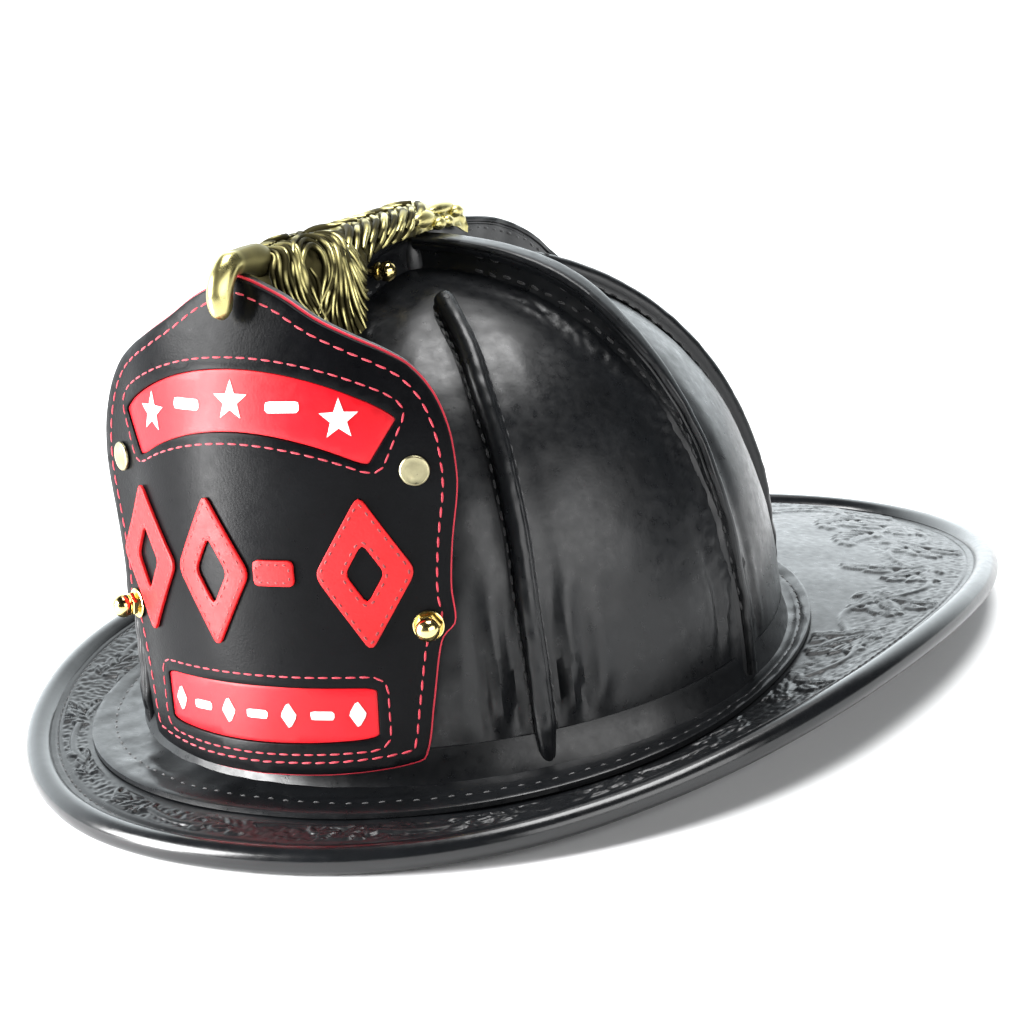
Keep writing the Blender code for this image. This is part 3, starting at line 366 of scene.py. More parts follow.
def tube(points, radius, sides=10, closed=False, up=(0.13, 0.07, 1.0), flat=1.0):
    """A round cord along a line; radius may change along it."""
    points = np.asarray(points, float)
    side, lift = frames_along(points, np.broadcast_to(np.asarray(up, float), points.shape), closed)
    angle = turns(sides)
    radius = np.broadcast_to(np.asarray(radius, float), len(points))[:, None, None]
    ring = side[:, None] * np.cos(angle)[:, None] + lift[:, None] * np.sin(angle)[:, None] * flat
    return skin(points[:, None] + ring * radius, closed_rows=closed)


AXIS = 0.01                             # the radius at which a turned profile closes on its axis


def turned(profile, foot, axis, sides=48, flats=None):
    """A solid of revolution from a (radius, height) profile; flats makes it a polygon instead."""
    axis = unit(np.asarray(axis, float))
    side = unit(np.cross(axis, (0.31, 0.2, 0.93)))
    other = np.cross(axis, side)
    angle = turns(sides)
    stretch = np.ones(sides)
    if flats:
        half_flat = math.pi / flats
        stretch = math.cos(half_flat) / np.cos((angle + half_flat) % (TAU / flats) - half_flat)
    ring = (side * np.cos(angle)[:, None] + other * np.sin(angle)[:, None]) * stretch[:, None]
    profile = np.asarray(profile, float)
    grid = np.asarray(foot, float) + profile[:, :1, None] * ring + profile[:, 1, None, None] * axis
    return skin(grid)


def stitches(line, outward, pitch=5.0, share=0.62, thick=0.75, bury=0.25, slant=0.0, closed=False):
    """A row of thread stitches along a line, each a short rounded bar that dips into the leather."""
    line, outward = np.asarray(line, float), np.asarray(outward, float)
    if closed:
        line, outward = np.vstack([line, line[:1]]), np.vstack([outward, outward[:1]])
    along = travel(line)
    count = max(1, int(round(along[-1] / pitch)))
    middles = (np.arange(count) + 0.5) * along[-1] / count

    def at(distances, values):
        return np.stack([np.interp(distances, along, values[:, k]) for k in range(3)], axis=1)

    centre, up = at(middles, line), unit(at(middles, outward))
    half = share * along[-1] / count / 2
    ahead, behind = np.minimum(middles + half, along[-1]), np.maximum(middles - half, 0)
    forward = unit(at(ahead, line) - at(behind, line))
    side = np.cross(up, forward)
    forward = unit(forward * math.cos(slant) + side * math.sin(slant))
    side = np.cross(up, forward)
    t = np.array([-1.0, -0.82, -0.45, 0.0, 0.45, 0.82, 1.0])
    round_off = np.sqrt(np.maximum(1 - t ** 2, 0)) ** 0.6 + 0.06
    angle = turns(7)
    level = np.sin(angle) * round_off[:, None] * thick / 2 - bury * thick - 0.5 * thick * (t ** 4)[:, None]
    bar = joined((t * half)[:, None], np.cos(angle) * round_off[:, None] * thick / 2, level)
    basis = np.stack([forward, side, up], axis=1)
    grid = centre[:, None, None] + np.einsum("rcb,nbk->nrck", bar, basis)
    points, faces = skin(bar)
    step = len(points)
    return grid.reshape(-1, 3), [[v + n * step for v in face] for n in range(count) for face in faces]


def inside(loop, points):
    """Which points lie inside a closed outline."""
    x, y = points[:, 0], points[:, 1]
    found = np.zeros(len(points), bool)
    for (x0, y0), (x1, y1) in zip(loop, np.roll(loop, -1, axis=0)):
        if y0 != y1:
            crosses = (y0 > y) != (y1 > y)
            found ^= crosses & (x < (x1 - x0) * (y - y0) / (y1 - y0) + x0)
    return found


def shrunk(loop, distance):
    """A closed outline moved inwards by a small distance."""
    ahead = unit(np.roll(loop, -1, axis=0) - loop)
    behind = unit(loop - np.roll(loop, 1, axis=0))
    tangent = unit(ahead + behind)
    normal = np.stack([-tangent[:, 1], tangent[:, 0]], axis=1)
    mitre = np.maximum((ahead * tangent).sum(axis=1, keepdims=True), 0.35)
    following = np.roll(loop, -1, axis=0)
    twice_area = (loop[:, 0] * following[:, 1] - following[:, 0] * loop[:, 1]).sum()
    turn = 1 if twice_area > 0 else -1
    return loop + normal * (turn * distance) / mitre


def sheet_of(loop, holes, low, high, bend, spacing=3.0, round_edge=0.35):
    """A plate with holes, rounded at its upper edges and bent by a function of (u, v, out)."""
    rims = []
    for ring, way in [(loop, 1)] + [(hole, -1) for hole in holes]:
        rims.append([ring, shrunk(ring, way * 0.3 * round_edge), shrunk(ring, way * round_edge)])
    heights = (high - round_edge, high - 0.3 * round_edge, high)
    flat, height, edges, outer_index = [], [], [], []
    for rings in rims:
        for ring, level in zip(rings, heights):
            start = len(flat)
            if ring is rings[0]:
                outer_index.append((start, len(ring)))
            flat += ring.tolist()
            height += [level] * len(ring)
            edges += [(start + i, start + (i + 1) % len(ring)) for i in range(len(ring))]
    low_corner, high_corner = loop.min(axis=0), loop.max(axis=0)
    columns = np.arange(low_corner[0] + spacing / 2, high_corner[0], spacing)
    rows = np.arange(low_corner[1] + spacing / 2, high_corner[1], spacing)
    cells = np.stack(np.meshgrid(columns, rows), axis=-1).reshape(-1, 2)
    keep = inside(shrunk(loop, round_edge + spacing * 0.3), cells)
    for hole in holes:
        keep &= ~inside(shrunk(hole, -round_edge - spacing * 0.3), cells)
    flat += cells[keep].tolist()
    height += [high] * int(keep.sum())
    found = delaunay_2d_cdt([Vector(p) for p in flat], edges, [], 0, 1e-5)
    points, faces, origins = np.array([tuple(p) for p in found[0]]), found[2], found[3]
    levels = np.array([height[ids[0]] if ids else high for ids in origins])
    centres = np.array([points[list(face)].mean(axis=0) for face in faces])
    keep = inside(loop, centres)
    for hole in holes:
        keep &= ~inside(hole, centres)
    faces = [list(face) for face, kept in zip(faces, keep) if kept]
    where = {ids[0]: i for i, ids in enumerate(origins) if ids}
    size = len(points)
    under = [[v + size for v in reversed(face)] for face in faces]
    walls = []
    for start, count in outer_index:
        for i in range(count):
            a, b = where[start + i], where[start + (i + 1) % count]
            walls.append([a, b, b + size, a + size])
    top = bend(points[:, 0], points[:, 1], levels)
    bottom = bend(points[:, 0], points[:, 1], np.full(size, low))
    return np.vstack([top, bottom]), faces + under + walls


# ---- materials ----------------------------------------------------------------------------------


def add(tree, kind, inputs=None, **settings):
    """A shader node with its settings, values and links."""
    made = tree.nodes.new("ShaderNode" + kind)
    for key, value in settings.items():
        setattr(made, key, value)
    for key, value in (inputs or {}).items():
        if isinstance(value, bpy.types.NodeSocket):
            tree.links.new(value, made.inputs[key])
        else:
            made.inputs[key].default_value = value
    return made


def blank(name, **values):
    """A material with its Principled shader's constant values set."""
    material = bpy.data.materials.new(name)
    material.use_nodes = True
    shader = material.node_tree.nodes["Principled BSDF"]
    for key, value in values.items():
        shader.inputs[key.replace("_", " ")].default_value = value
    return material, material.node_tree, shader


def ramp(tree, factor, stops):
    """A colour or grey that changes along stops of (position, colour)."""
    made = add(tree, "ValToRGB", {"Fac": factor})
    while len(made.color_ramp.elements) < len(stops):
        made.color_ramp.elements.new(0.5)
    for element, (position, colour) in zip(made.color_ramp.elements, stops):
        element.position = position
        element.color = (*colour, 1)
    return made.outputs["Color"]


def ranged(tree, value, low, high, start=0.3, end=0.7, **settings):
    """A value that goes from low to high as another goes from start to end."""
    made = add(tree, "MapRange", {"Value": value, "From Min": start, "From Max": end,
                                  "To Min": low, "To Max": high}, **settings)
    return made.outputs["Result"]


def noise(tree, place, size_mm, detail=3.0, rough=0.5, stretch=0.0):
    made = add(tree, "TexNoise", {"Vector": place, "Scale": 1 / (size_mm * MM), "Detail": detail,
                                  "Roughness": rough, "Distortion": stretch})
    return made.outputs["Fac"]


def bump(tree, height, depth_mm, strength=1.0, under=None):
    inputs = {"Height": height, "Distance": depth_mm * MM, "Strength": strength}
    if under is not None:
        inputs["Normal"] = under
    return add(tree, "Bump", inputs).outputs["Normal"]


def tinted(colour, share):
    return tuple(min(1.0, c * share) for c in colour)


def leather(name, colour, roughness, grain_mm=1.0, grain=0.05, mottle=0.12, spread=0.09, shine=0.5):
    """Painted or dyed leather: pores, a slow mottle, and a gloss that varies."""
    material, tree, shader = blank(name, Specular_IOR_Level=shine)
    place = add(tree, "TexCoord").outputs["Object"]
    slow, fine = noise(tree, place, 16.0, 4.0), noise(tree, place, 3.2, 4.0, 0.6)
    pores = add(tree, "TexVoronoi", {"Vector": place, "Scale": 1 / (grain_mm * MM), "Randomness": 1.0},
                feature="SMOOTH_F1").outputs["Distance"]
    tree.links.new(ramp(tree, slow, [(0.3, tinted(colour, 0.78)), (0.7, tinted(colour, 1.25))]),
                   shader.inputs["Base Color"])
    tree.links.new(ranged(tree, fine, roughness - spread / 2, roughness + spread),
                   shader.inputs["Roughness"])
    lumps = bump(tree, slow, mottle * 3, 0.6)
    creases = bump(tree, fine, mottle, 0.5, lumps)
    tree.links.new(bump(tree, pores, grain, 0.7, creases), shader.inputs["Normal"])
    return material


def metal(name, colour, roughness, dark=None, size_mm=6.0):
    """Cast or turned metal; where the mesh carries a painted-light value, its hollows get a dark painted
    shade.
    """
    material, tree, shader = blank(name, Metallic=1.0)
    place = add(tree, "TexCoord").outputs["Object"]
    stain, scratch = noise(tree, place, size_mm, 5.0, 0.6), noise(tree, place, 0.8, 3.0)
    bright = ramp(tree, stain, [(0.25, tinted(colour, 0.72)), (0.75, tinted(colour, 1.12))])
    rough = ranged(tree, stain, roughness * 0.75, roughness * 1.4)
    # painted shade: where the mesh's painted-light value is low, the colour turns to the dark shade colour
    # and the surface goes rough
    if dark is not None:
        painted_light = add(tree, "Attribute", attribute_name="painted_light").outputs["Fac"]
        share = ranged(tree, painted_light, 0.0, 1.0, 0.35, 0.95)
        mixed = add(tree, "Mix", {"Factor": share, "A": (*dark, 1), "B": bright}, data_type="RGBA")
        bright = mixed.outputs["Result"]
        rough = add(tree, "Mix", {"Factor": share, "A": 0.62, "B": rough}).outputs["Result"]
    tree.links.new(bright, shader.inputs["Base Color"])
    tree.links.new(rough, shader.inputs["Roughness"])
    tree.links.new(bump(tree, scratch, 0.02, 0.5, bump(tree, stain, 0.12, 0.4)), shader.inputs["Normal"])
    return material


def woven(name, colour, pitch_mm=0.9, roughness=0.8, depth=0.15):
    """Woven cloth or webbing: two crossed sets of threads."""
    material, tree, shader = blank(name, Sheen_Weight=0.25)
    place = add(tree, "TexCoord").outputs["Object"]
    sets = []
    for direction in ("X", "Y", "Z"):
        waves = add(tree, "TexWave", {"Vector": place, "Scale": 0.314 / (pitch_mm * MM), "Distortion": 0.6,
                                      "Detail": 1.0}, bands_direction=direction)
        sets.append(waves.outputs["Fac"])
    crossed = add(tree, "Math", {0: sets[0], 1: sets[1]}, operation="MAXIMUM").outputs["Value"]
    crossed = add(tree, "Math", {0: crossed, 1: sets[2]}, operation="MULTIPLY").outputs["Value"]
    lint = noise(tree, place, 2.0, 5.0, 0.7)
    shade = add(tree, "Math", {0: crossed, 1: lint}, operation="MULTIPLY").outputs["Value"]
    tree.links.new(ramp(tree, shade, [(0.05, tinted(colour, 0.6)), (0.55, tinted(colour, 1.5))]),
                   shader.inputs["Base Color"])
    tree.links.new(ranged(tree, lint, roughness - 0.08, min(1.0, roughness + 0.12)),
                   shader.inputs["Roughness"])
    tree.links.new(bump(tree, crossed, depth, 0.8), shader.inputs["Normal"])
    return material


def moulded(name, colour, roughness, texture_mm=0.5, depth=0.03):
    """Moulded plastic or foam with a fine even texture and faint flow marks."""
    material, tree, shader = blank(name)
    place = add(tree, "TexCoord").outputs["Object"]
    fine, flow = noise(tree, place, texture_mm, 2.0), noise(tree, place, 22.0, 3.0, 0.5, 0.8)
    tree.links.new(ramp(tree, flow, [(0.3, tinted(colour, 0.85)), (0.7, tinted(colour, 1.2))]),
                   shader.inputs["Base Color"])
    tree.links.new(ranged(tree, flow, roughness - 0.05, roughness + 0.07), shader.inputs["Roughness"])
    tree.links.new(bump(tree, fine, depth, 0.6), shader.inputs["Normal"])
    return material


def make_paints():
    """Every finish by its name."""
    black = (0.0045, 0.005, 0.0058)
    fine_thread = dict(pitch_mm=0.35, roughness=0.6, depth=0.05)
    looks = (
        (leather, "black_leather", black,
         dict(roughness=0.30, grain_mm=1.1, grain=0.02, mottle=0.025, shine=0.33)),
        (leather, "bead_leather", black,
         dict(roughness=0.20, grain_mm=1.3, grain=0.012, mottle=0.02, spread=0.05)),
        (leather, "rough_leather", tinted(black, 0.7),
         dict(roughness=0.33, grain_mm=1.6, grain=0.12, mottle=0.35)),
        (leather, "shield_leather", (0.002, 0.0021, 0.0026),
         dict(roughness=0.30, grain_mm=0.75, grain=0.04, mottle=0.04, spread=0.06, shine=0.075)),
        (leather, "red_leather", (0.50, 0.003, 0.009),
         dict(roughness=0.36, grain_mm=0.8, grain=0.035, mottle=0.05, spread=0.06, shine=0.25)),
        (leather, "red_emblem", (0.58, 0.010, 0.012),
         dict(roughness=0.42, grain_mm=0.9, grain=0.06, mottle=0.08, spread=0.08, shine=0.25)),
        (leather, "white_ink", (0.86, 0.88, 0.88),
         dict(roughness=0.42, grain_mm=0.7, grain=0.02, mottle=0.03, spread=0.05)),
        (woven, "red_thread", (0.50, 0.012, 0.035), fine_thread),
        (woven, "dark_red_thread", (0.20, 0.004, 0.006), fine_thread),
        (leather, "edge_red", (0.50, 0.02, 0.04),
         dict(roughness=0.45, grain_mm=0.6, grain=0.05, mottle=0.05, shine=0.3)),
        (woven, "black_thread", (0.012, 0.012, 0.013), dict(pitch_mm=0.35, roughness=0.55, depth=0.05)),
        # antique brass, with a dark brown painted into its hollows as painted shade
        (metal, "antique_brass", (0.58, 0.52, 0.22), dict(roughness=0.30, dark=(0.040, 0.035, 0.015))),
        (metal, "dull_brass", (0.36, 0.33, 0.20), dict(roughness=0.36, size_mm=3.0)),
        (metal, "bright_brass", (0.83, 0.66, 0.27), dict(roughness=0.16)),
        (metal, "steel", (0.60, 0.60, 0.61), dict(roughness=0.28)),
        (moulded, "black_plastic", (0.022, 0.022, 0.023), dict(roughness=0.42)),
        (moulded, "impact_plastic", (0.05, 0.05, 0.055), dict(roughness=0.35)),
        (moulded, "foam", (0.14, 0.14, 0.15), dict(roughness=0.9, texture_mm=1.6, depth=0.35)),
        (woven, "webbing", (0.03, 0.03, 0.033), {}),
        (leather, "pad_leather", (0.15, 0.085, 0.05),
         dict(roughness=0.5, grain_mm=1.4, grain=0.12, mottle=0.2, spread=0.12)),
        (woven, "flap_cloth", (0.045, 0.045, 0.05), dict(pitch_mm=1.2, roughness=0.9, depth=0.2)),
    )
    return {name: maker(name, colour, **settings) for maker, name, colour, settings in looks}


PAINTS = make_paints()


# ---- crown, brim, rolled edge and welt ----------------------------------------------------------

CROWN_STEPS, CROWN_ROWS = 384, 130


def seam_distance(phi, rise, seams):
    """Distance over the crown's surface to the nearest of some meridians."""
    reach = np.linalg.norm(crown_point(phi, rise)[..., :2] - np.array([0, CROWN_APEX_Y]), axis=-1)
    nearest = np.full(np.broadcast(phi, rise).shape, np.inf)
    for degrees in seams:
        turn = (phi - math.radians(degrees) + math.pi) % TAU - math.pi
        nearest = np.minimum(nearest, np.abs(turn) * reach)
    return nearest


def crown_relief(phi, rise, points):
    """How far the hand-formed leather stands above or below the plain dome."""
    rib = seam_distance(phi, rise, [degrees for _, degrees in RIBS])
    comb = seam_distance(phi, rise, [degrees for _, degrees, _, _ in COMBS])
    height = 0.10 * ripples(points, 30.0, 3) + 0.04 * ripples(points, 10.0, 4)
    height += 0.015 * ripples(points, 4.5, 5)
    height -= 0.75 * np.exp(-((rib - 6.5) / 4.5) ** 2) * smooth((0.8 - rise) / 0.1)
    height += 1.1 * np.exp(-(comb / 5.0) ** 2)
    height -= 0.55 * np.exp(-((comb - 12.0) / 5.5) ** 2)
    rough = np.exp(-((comb - 7.0) / 3.5) ** 2) * smooth((0.86 - rise) / 0.2)
    height += 0.22 * rough * ripples(points, 3.4, 6)
    foot = np.exp(-(rise / 0.14) ** 2) * smooth((rise - 0.02) / 0.045)
    gathers = np.exp(-((rib - 11.0) / 9.0) ** 2) * foot
    height += 3.0 * gathers * np.cos(TAU * rib / 11.0 + 0.7 * ripples(points, 34.0, 7))
    gathers = np.exp(-((comb - 10.0) / 7.0) ** 2) * foot
    return height + 1.1 * gathers * np.cos(TAU * comb / 8.0 + 0.6 * ripples(points, 30.0, 8))


def wall_normals(points):
    """Outward directions of a surface grid whose columns go round."""
    across = np.roll(points, -1, axis=1) - np.roll(points, 1, axis=1)
    return unit(np.cross(across, np.gradient(points, axis=0)))


def make_crown():
    """The domed leather, inside and out, down to a skirt behind the welt."""
    phi = turns(CROWN_STEPS)[None, :]
    rise = np.linspace(0.0, 0.992, CROWN_ROWS)[:, None]
    plain = crown_point(phi, rise)
    outer = plain + wall_normals(plain) * crown_relief(phi, rise, plain)[..., None]
    inner_rise = np.linspace(0.992, 0.0, 40)[:, None]
    inner = crown_point(phi, inner_rise, CROWN_WALL)
    skirt = np.stack([inner[-1], outer[0]]) - Z * CROWN_SKIRT
    grid = np.concatenate([inner, skirt, outer])
    piece("crown_leather", skin(grid), "black_leather", stands_for=["crown_shell"])


RELIEF_STEP = 0.4


class Relief:
    """A height map of the brim seen from above, on which tooled strokes are stamped."""

    def __init__(self):
        self.low = np.array([-BRIM_HALF_WIDTH - 5, -BRIM_HALF_LENGTH - 5])
        size = (-2 * self.low / RELIEF_STEP).astype(int) + 2
        self.raised, self.pressed = np.zeros(size), np.zeros(size)

    def stroke(self, line, radii, height):
        """Raise the leather along a line, or press it in where the height is negative."""
        line = respace(line, step=0.8)
        radii = np.interp(np.linspace(0, 1, len(line)), np.linspace(0, 1, len(radii)), radii)
        field = self.raised if height > 0 else self.pressed
        for (x, y), radius in zip((line - self.low) / RELIEF_STEP, np.maximum(radii, 0.45) / RELIEF_STEP):
            i0, j0 = max(0, int(x - radius)), max(0, int(y - radius))
            i1, j1 = int(x + radius) + 2, int(y + radius) + 2
            window = field[i0:i1, j0:j1]
            i, j = np.ogrid[i0:i0 + window.shape[0], j0:j0 + window.shape[1]]
            near = 1 - ((i - x) ** 2 + (j - y) ** 2) / radius ** 2
            np.maximum(window, abs(height) * np.sqrt(np.clip(near, 0, 1)), out=window)

    def at(self, x, y):
        """The height at points of the brim, between the map's cells."""
        u, v = (x - self.low[0]) / RELIEF_STEP, (y - self.low[1]) / RELIEF_STEP
        i = np.clip(u.astype(int), 0, self.raised.shape[0] - 2)
        j = np.clip(v.astype(int), 0, self.raised.shape[1] - 2)
        f, g = u - i, v - j
        field = self.raised - self.pressed
        return ((field[i, j] * (1 - f) + field[i + 1, j] * f) * (1 - g)
                + (field[i, j + 1] * (1 - f) + field[i + 1, j + 1] * f) * g)


def turned_line(start, heading, length, bend, steps=10):
    """A line on the brim that leaves in a direction and curls by an angle over its length."""
    way = heading + bend * (np.arange(steps) + 0.5) / steps
    moves = np.stack([np.cos(way), np.sin(way)], axis=1) * length / steps
    return np.vstack([start, np.asarray(start) + np.cumsum(moves, axis=0)])


def carve_leaf(relief, start, heading, length, bend, width, lobes):
    """An acanthus-like leaf: raised lobes off a sunken midrib, with cuts between them."""
    rib = turned_line(start, heading, length, bend, 14)
    way = heading + bend * np.linspace(0, 1, len(rib))
    for k in range(lobes):
        share = 0.06 + 0.80 * k / max(1, lobes - 1)
        i = int(share * (len(rib) - 1))
        reach = width * (0.55 + 0.45 * math.sin(math.pi * (0.15 + 0.8 * share)))
        for side in (1, -1):
            out = way[i] + side * math.radians(62 - 34 * share)
            lobe = turned_line(rib[i], out, reach, -side * 0.7)
            swell = length / lobes * 0.46
            relief.stroke(lobe, (swell * 0.5, swell, swell * 0.85, swell * 0.35), 0.75)
            forward = rib[min(i + 1, len(rib) - 1)] - rib[i]
            cut = turned_line(rib[i] - 0.55 * forward, out, reach * 0.85, -side * 0.6)
            relief.stroke(cut, (0.6, 0.5, 0.3), -0.45)
    relief.stroke(turned_line(rib[-1], way[-1], width * 0.5, bend * 0.4), (1.4, 1.8, 0.5), 0.75)
    relief.stroke(rib, (0.8, 0.7, 0.4), -0.55)


def carve_border(relief):
    """A running scroll of leaves round the brim, broad at the tail and narrow at the sides."""
    phi = np.linspace(0, TAU, 721)
    edge, out = brim_neck(phi)[:, :2], edge_out(phi)[:, :2]
    along = travel(edge)
    room = np.linalg.norm(brim_neck(phi)[:, :2] - welt_rim(phi)[:, :2], axis=1)
    waves = 24
    pitch = along[-1] / waves
    reach = np.clip(room - 9.0, 12.0, 34.0)

    def spot(distance, inset):
        d = distance % along[-1]
        place = np.array([np.interp(d, along, edge[:, k]) for k in (0, 1)])
        outward = unit(np.array([np.interp(d, along, out[:, k]) for k in (0, 1)]))
        return place - outward * inset, outward

    distances = np.linspace(0, along[-1], 900)
    middle = 3.5 + np.interp(distances, along, reach) * 0.48
    swing = np.interp(distances, along, reach) * 0.27 * np.sin(TAU * distances / (2 * pitch))
    vine = np.array([spot(d, m + s)[0] for d, m, s in zip(distances, middle, swing)])
    relief.stroke(vine, (1.3, 1.3), 0.7)
    for k in range(waves):
        d = (k + 0.5) * pitch
        depth = np.interp(d, along, reach)
        inwards = k % 2 == 0
        start, outward = spot(d - 0.42 * pitch, 3.5 + depth * (0.30 if inwards else 0.66))
        ahead = math.atan2(outward[0], -outward[1]) + math.pi
        turn = 1 if inwards else -1
        size = 0.62 * pitch * (0.75 + 0.25 * depth / 34)
        for spread, scale in ((0.75, 1.0), (0.05, 0.8)):
            carve_leaf(relief, start, ahead + turn * spread * -1, size * scale, turn * 0.9 * -1,
                       5.0 + 0.16 * depth, 4)
        curl, _ = spot(d + 0.12 * pitch, 3.5 + depth * (0.72 if inwards else 0.22))
        relief.stroke(turned_line(curl, ahead + turn, 0.30 * pitch, turn * 5.2, 16), (1.2, 1.0, 1.7), 0.7)


def carve_tail(relief):
    """The large spray of leaves on the tail, mirrored about the middle."""
    for side in (1, -1):
        for start_x, start_y, heading, length, bend in (
                (10, 178, 152, 34, -0.8), (12, 172, 118, 38, 0.5), (34, 166, 130, 36, 0.7),
                (56, 148, 118, 34, 0.9), (72, 124, 110, 32, 0.8), (6, 158, 100, 26, 0.5)):
            start = np.array([side * start_x, start_y], float)
            angle = math.radians(-heading if side > 0 else heading - 180)
            carve_leaf(relief, start, angle, length * 0.9, side * bend, 11.0, 6)


BRIM_STEPS = 1320


def brim_grid():
    """The brim's top face with its tooled relief and without, from its opening to the rolled edge."""
    phi = turns(BRIM_STEPS)
    seat = base_height(CROWN_Y + crown_plan(phi)[1]) - CROWN_SKIRT - GAP
    inner = crown_plan(phi, CROWN_WALL)
    ledge = crown_plan(phi, -GAP)
    inner = np.stack([inner[0], CROWN_Y + inner[1], seat], axis=-1)
    ledge = np.stack([ledge[0], CROWN_Y + ledge[1], seat], axis=-1)
    rim, neck = welt_rim(phi), brim_neck(phi)
    stop = brim_edge(phi) - edge_out(phi) * 2.7 + Z * (BRIM_THICKNESS / 2)
    arch = 4.0 * np.maximum(0.0, -np.cos(phi)) ** 2
    share = 1 - (1 - np.linspace(0, 1, 96)[:, None]) ** 1.35
    flat = rim + (neck - rim) * share[..., None]
    relief = Relief()
    carve_border(relief)
    carve_tail(relief)
    height = relief.at(flat[..., 0], flat[..., 1])
    inset = np.linalg.norm((neck - flat)[..., :2], axis=-1)
    from_welt = np.linalg.norm((flat - rim)[..., :2], axis=-1)
    field = smooth((inset - 3.0) / 1.5) * smooth((from_welt - 2.0) / 2.0)
    matted = 0.10 * ripples(flat, 2.6, 11) * np.exp(-np.maximum(height, 0) * 6) * smooth((60 - inset) / 10)
    height = (height + matted) * field
    height -= 0.45 * np.exp(-((inset - 1.1) / 0.8) ** 2)
    height += 0.12 * ripples(flat, 34.0, 12)
    flat[..., 2] += arch * 4 * share * (1 - share)
    carved = flat + Z * height[..., None]
    return (np.concatenate([[inner, ledge], face, [stop]]) for face in (carved, flat))


def make_brim():
    """The flat part of the brim, carved on top and plain underneath, and the stitching at its edge."""
    top, plain = brim_grid()
    under = np.concatenate([plain[:3], plain[12:-2:12], plain[-2:]])[::-1] - Z * BRIM_THICKNESS
    grid = np.concatenate([top, under])
    points, faces = skin(np.swapaxes(grid, 0, 1), closed_rows=True)
    piece("brim_leather", (points, faces), "black_leather", stands_for=["brim"])
    phi = turns(900)
    line = brim_neck(phi) - edge_out(phi) * 1.1 - Z * 0.25
    piece("brim_stitching", stitches(line, np.broadcast_to(Z, line.shape), pitch=4.6, share=0.7,
                                     thick=0.85, closed=True), "black_thread")


def make_edge_roll():
    """The glossy roll round the wire, slit where the brim enters it."""
    phi = turns(900)
    slit = math.degrees(math.asin((BRIM_THICKNESS / 2 + 0.05) / ROLL_RADIUS))
    angle = np.radians(np.linspace(slit, 360 - slit, 30))
    inner = np.radians(np.linspace(318, 42, 10))
    outline = np.concatenate([np.stack([-np.cos(angle), -np.sin(angle)], axis=1) * ROLL_RADIUS,
                              np.stack([-np.cos(inner), -np.sin(inner)], axis=1) * 2.6])
    ring = edge_out(phi)[:, None] * outline[:, :1] + Z * outline[:, 1:]
    centre = brim_edge(phi)
    wobble = np.minimum(1 + 0.012 * ripples(centre, 45.0, 21), 1.0)
    grid = centre[:, None] + ring * wobble[:, None, None]
    piece("brim_bead", skin(grid, closed_rows=True), "bead_leather", stands_for=["brim_edge_roll"])


def make_welt():
    """The crown's leather turned out into a flange, with a fillet at the crown and a cut edge."""
    phi = turns(720)
    rim = welt_rim(phi)
    rise = 0.028
    wall, low = crown_point(phi, rise), crown_point(phi, 0.004)
    seat = base_height(CROWN_Y + crown_plan(phi)[1]) - CROWN_SKIRT
    back = crown_plan(phi, -GAP)
    foot = np.stack([back[0], CROWN_Y + back[1], seat], axis=-1)
    across = rim + Z * GAP - foot
    thick = WELT_THICKNESS
    rows = [wall - unit(across) * 0.5, wall + unit(across) * 0.25]
    level = foot + Z * (thick + 0.15)
    rows += [lerp(wall, low, 0.6) + across * 0.06, level + across * 0.16 + Z * 0.7, level + across * 0.30]
    rows += [level + across * share for share in (0.45, 0.56, 0.62, 0.68, 0.78, 0.90)]
    edge = rim + Z * GAP
    outward = unit(across)
    rows += [edge + Z * thick - outward * 0.5, edge + Z * (thick - 0.35), edge + Z * 0.3,
             edge - outward * 0.3, foot + across * 0.3, foot]
    rows = np.array(rows)
    rows[7] -= Z * 0.35
    rows[2:11] += Z * (0.12 * ripples(rows[2:11], 14.0, 31))[..., None]
    piece("welt_leather", skin(np.swapaxes(rows, 0, 1), closed_rows=True), "black_leather",
          stands_for=["shell_welt"])
    line = rows[7] + Z * 0.05
    piece("welt_stitching", stitches(line, np.broadcast_to(Z, line.shape), pitch=5.4, share=0.55,
                                    thick=1.1, closed=True), "black_thread")


# ---- combs, ribs and the saddle at the top ------------------------------------------------------


def comb_line(phi, crest, reach, rises):
    """The foot, outward and sideways directions and height of a comb at stated rises."""
    foot, outward, side = crown_frame(phi, rises)
    height = 3.0 + (crest - 3.0) * smooth(rises / reach) ** 0.8
    height *= lerp(1.0, 0.88, smooth((rises - 0.7) / 0.22))
    return foot, outward, side, height


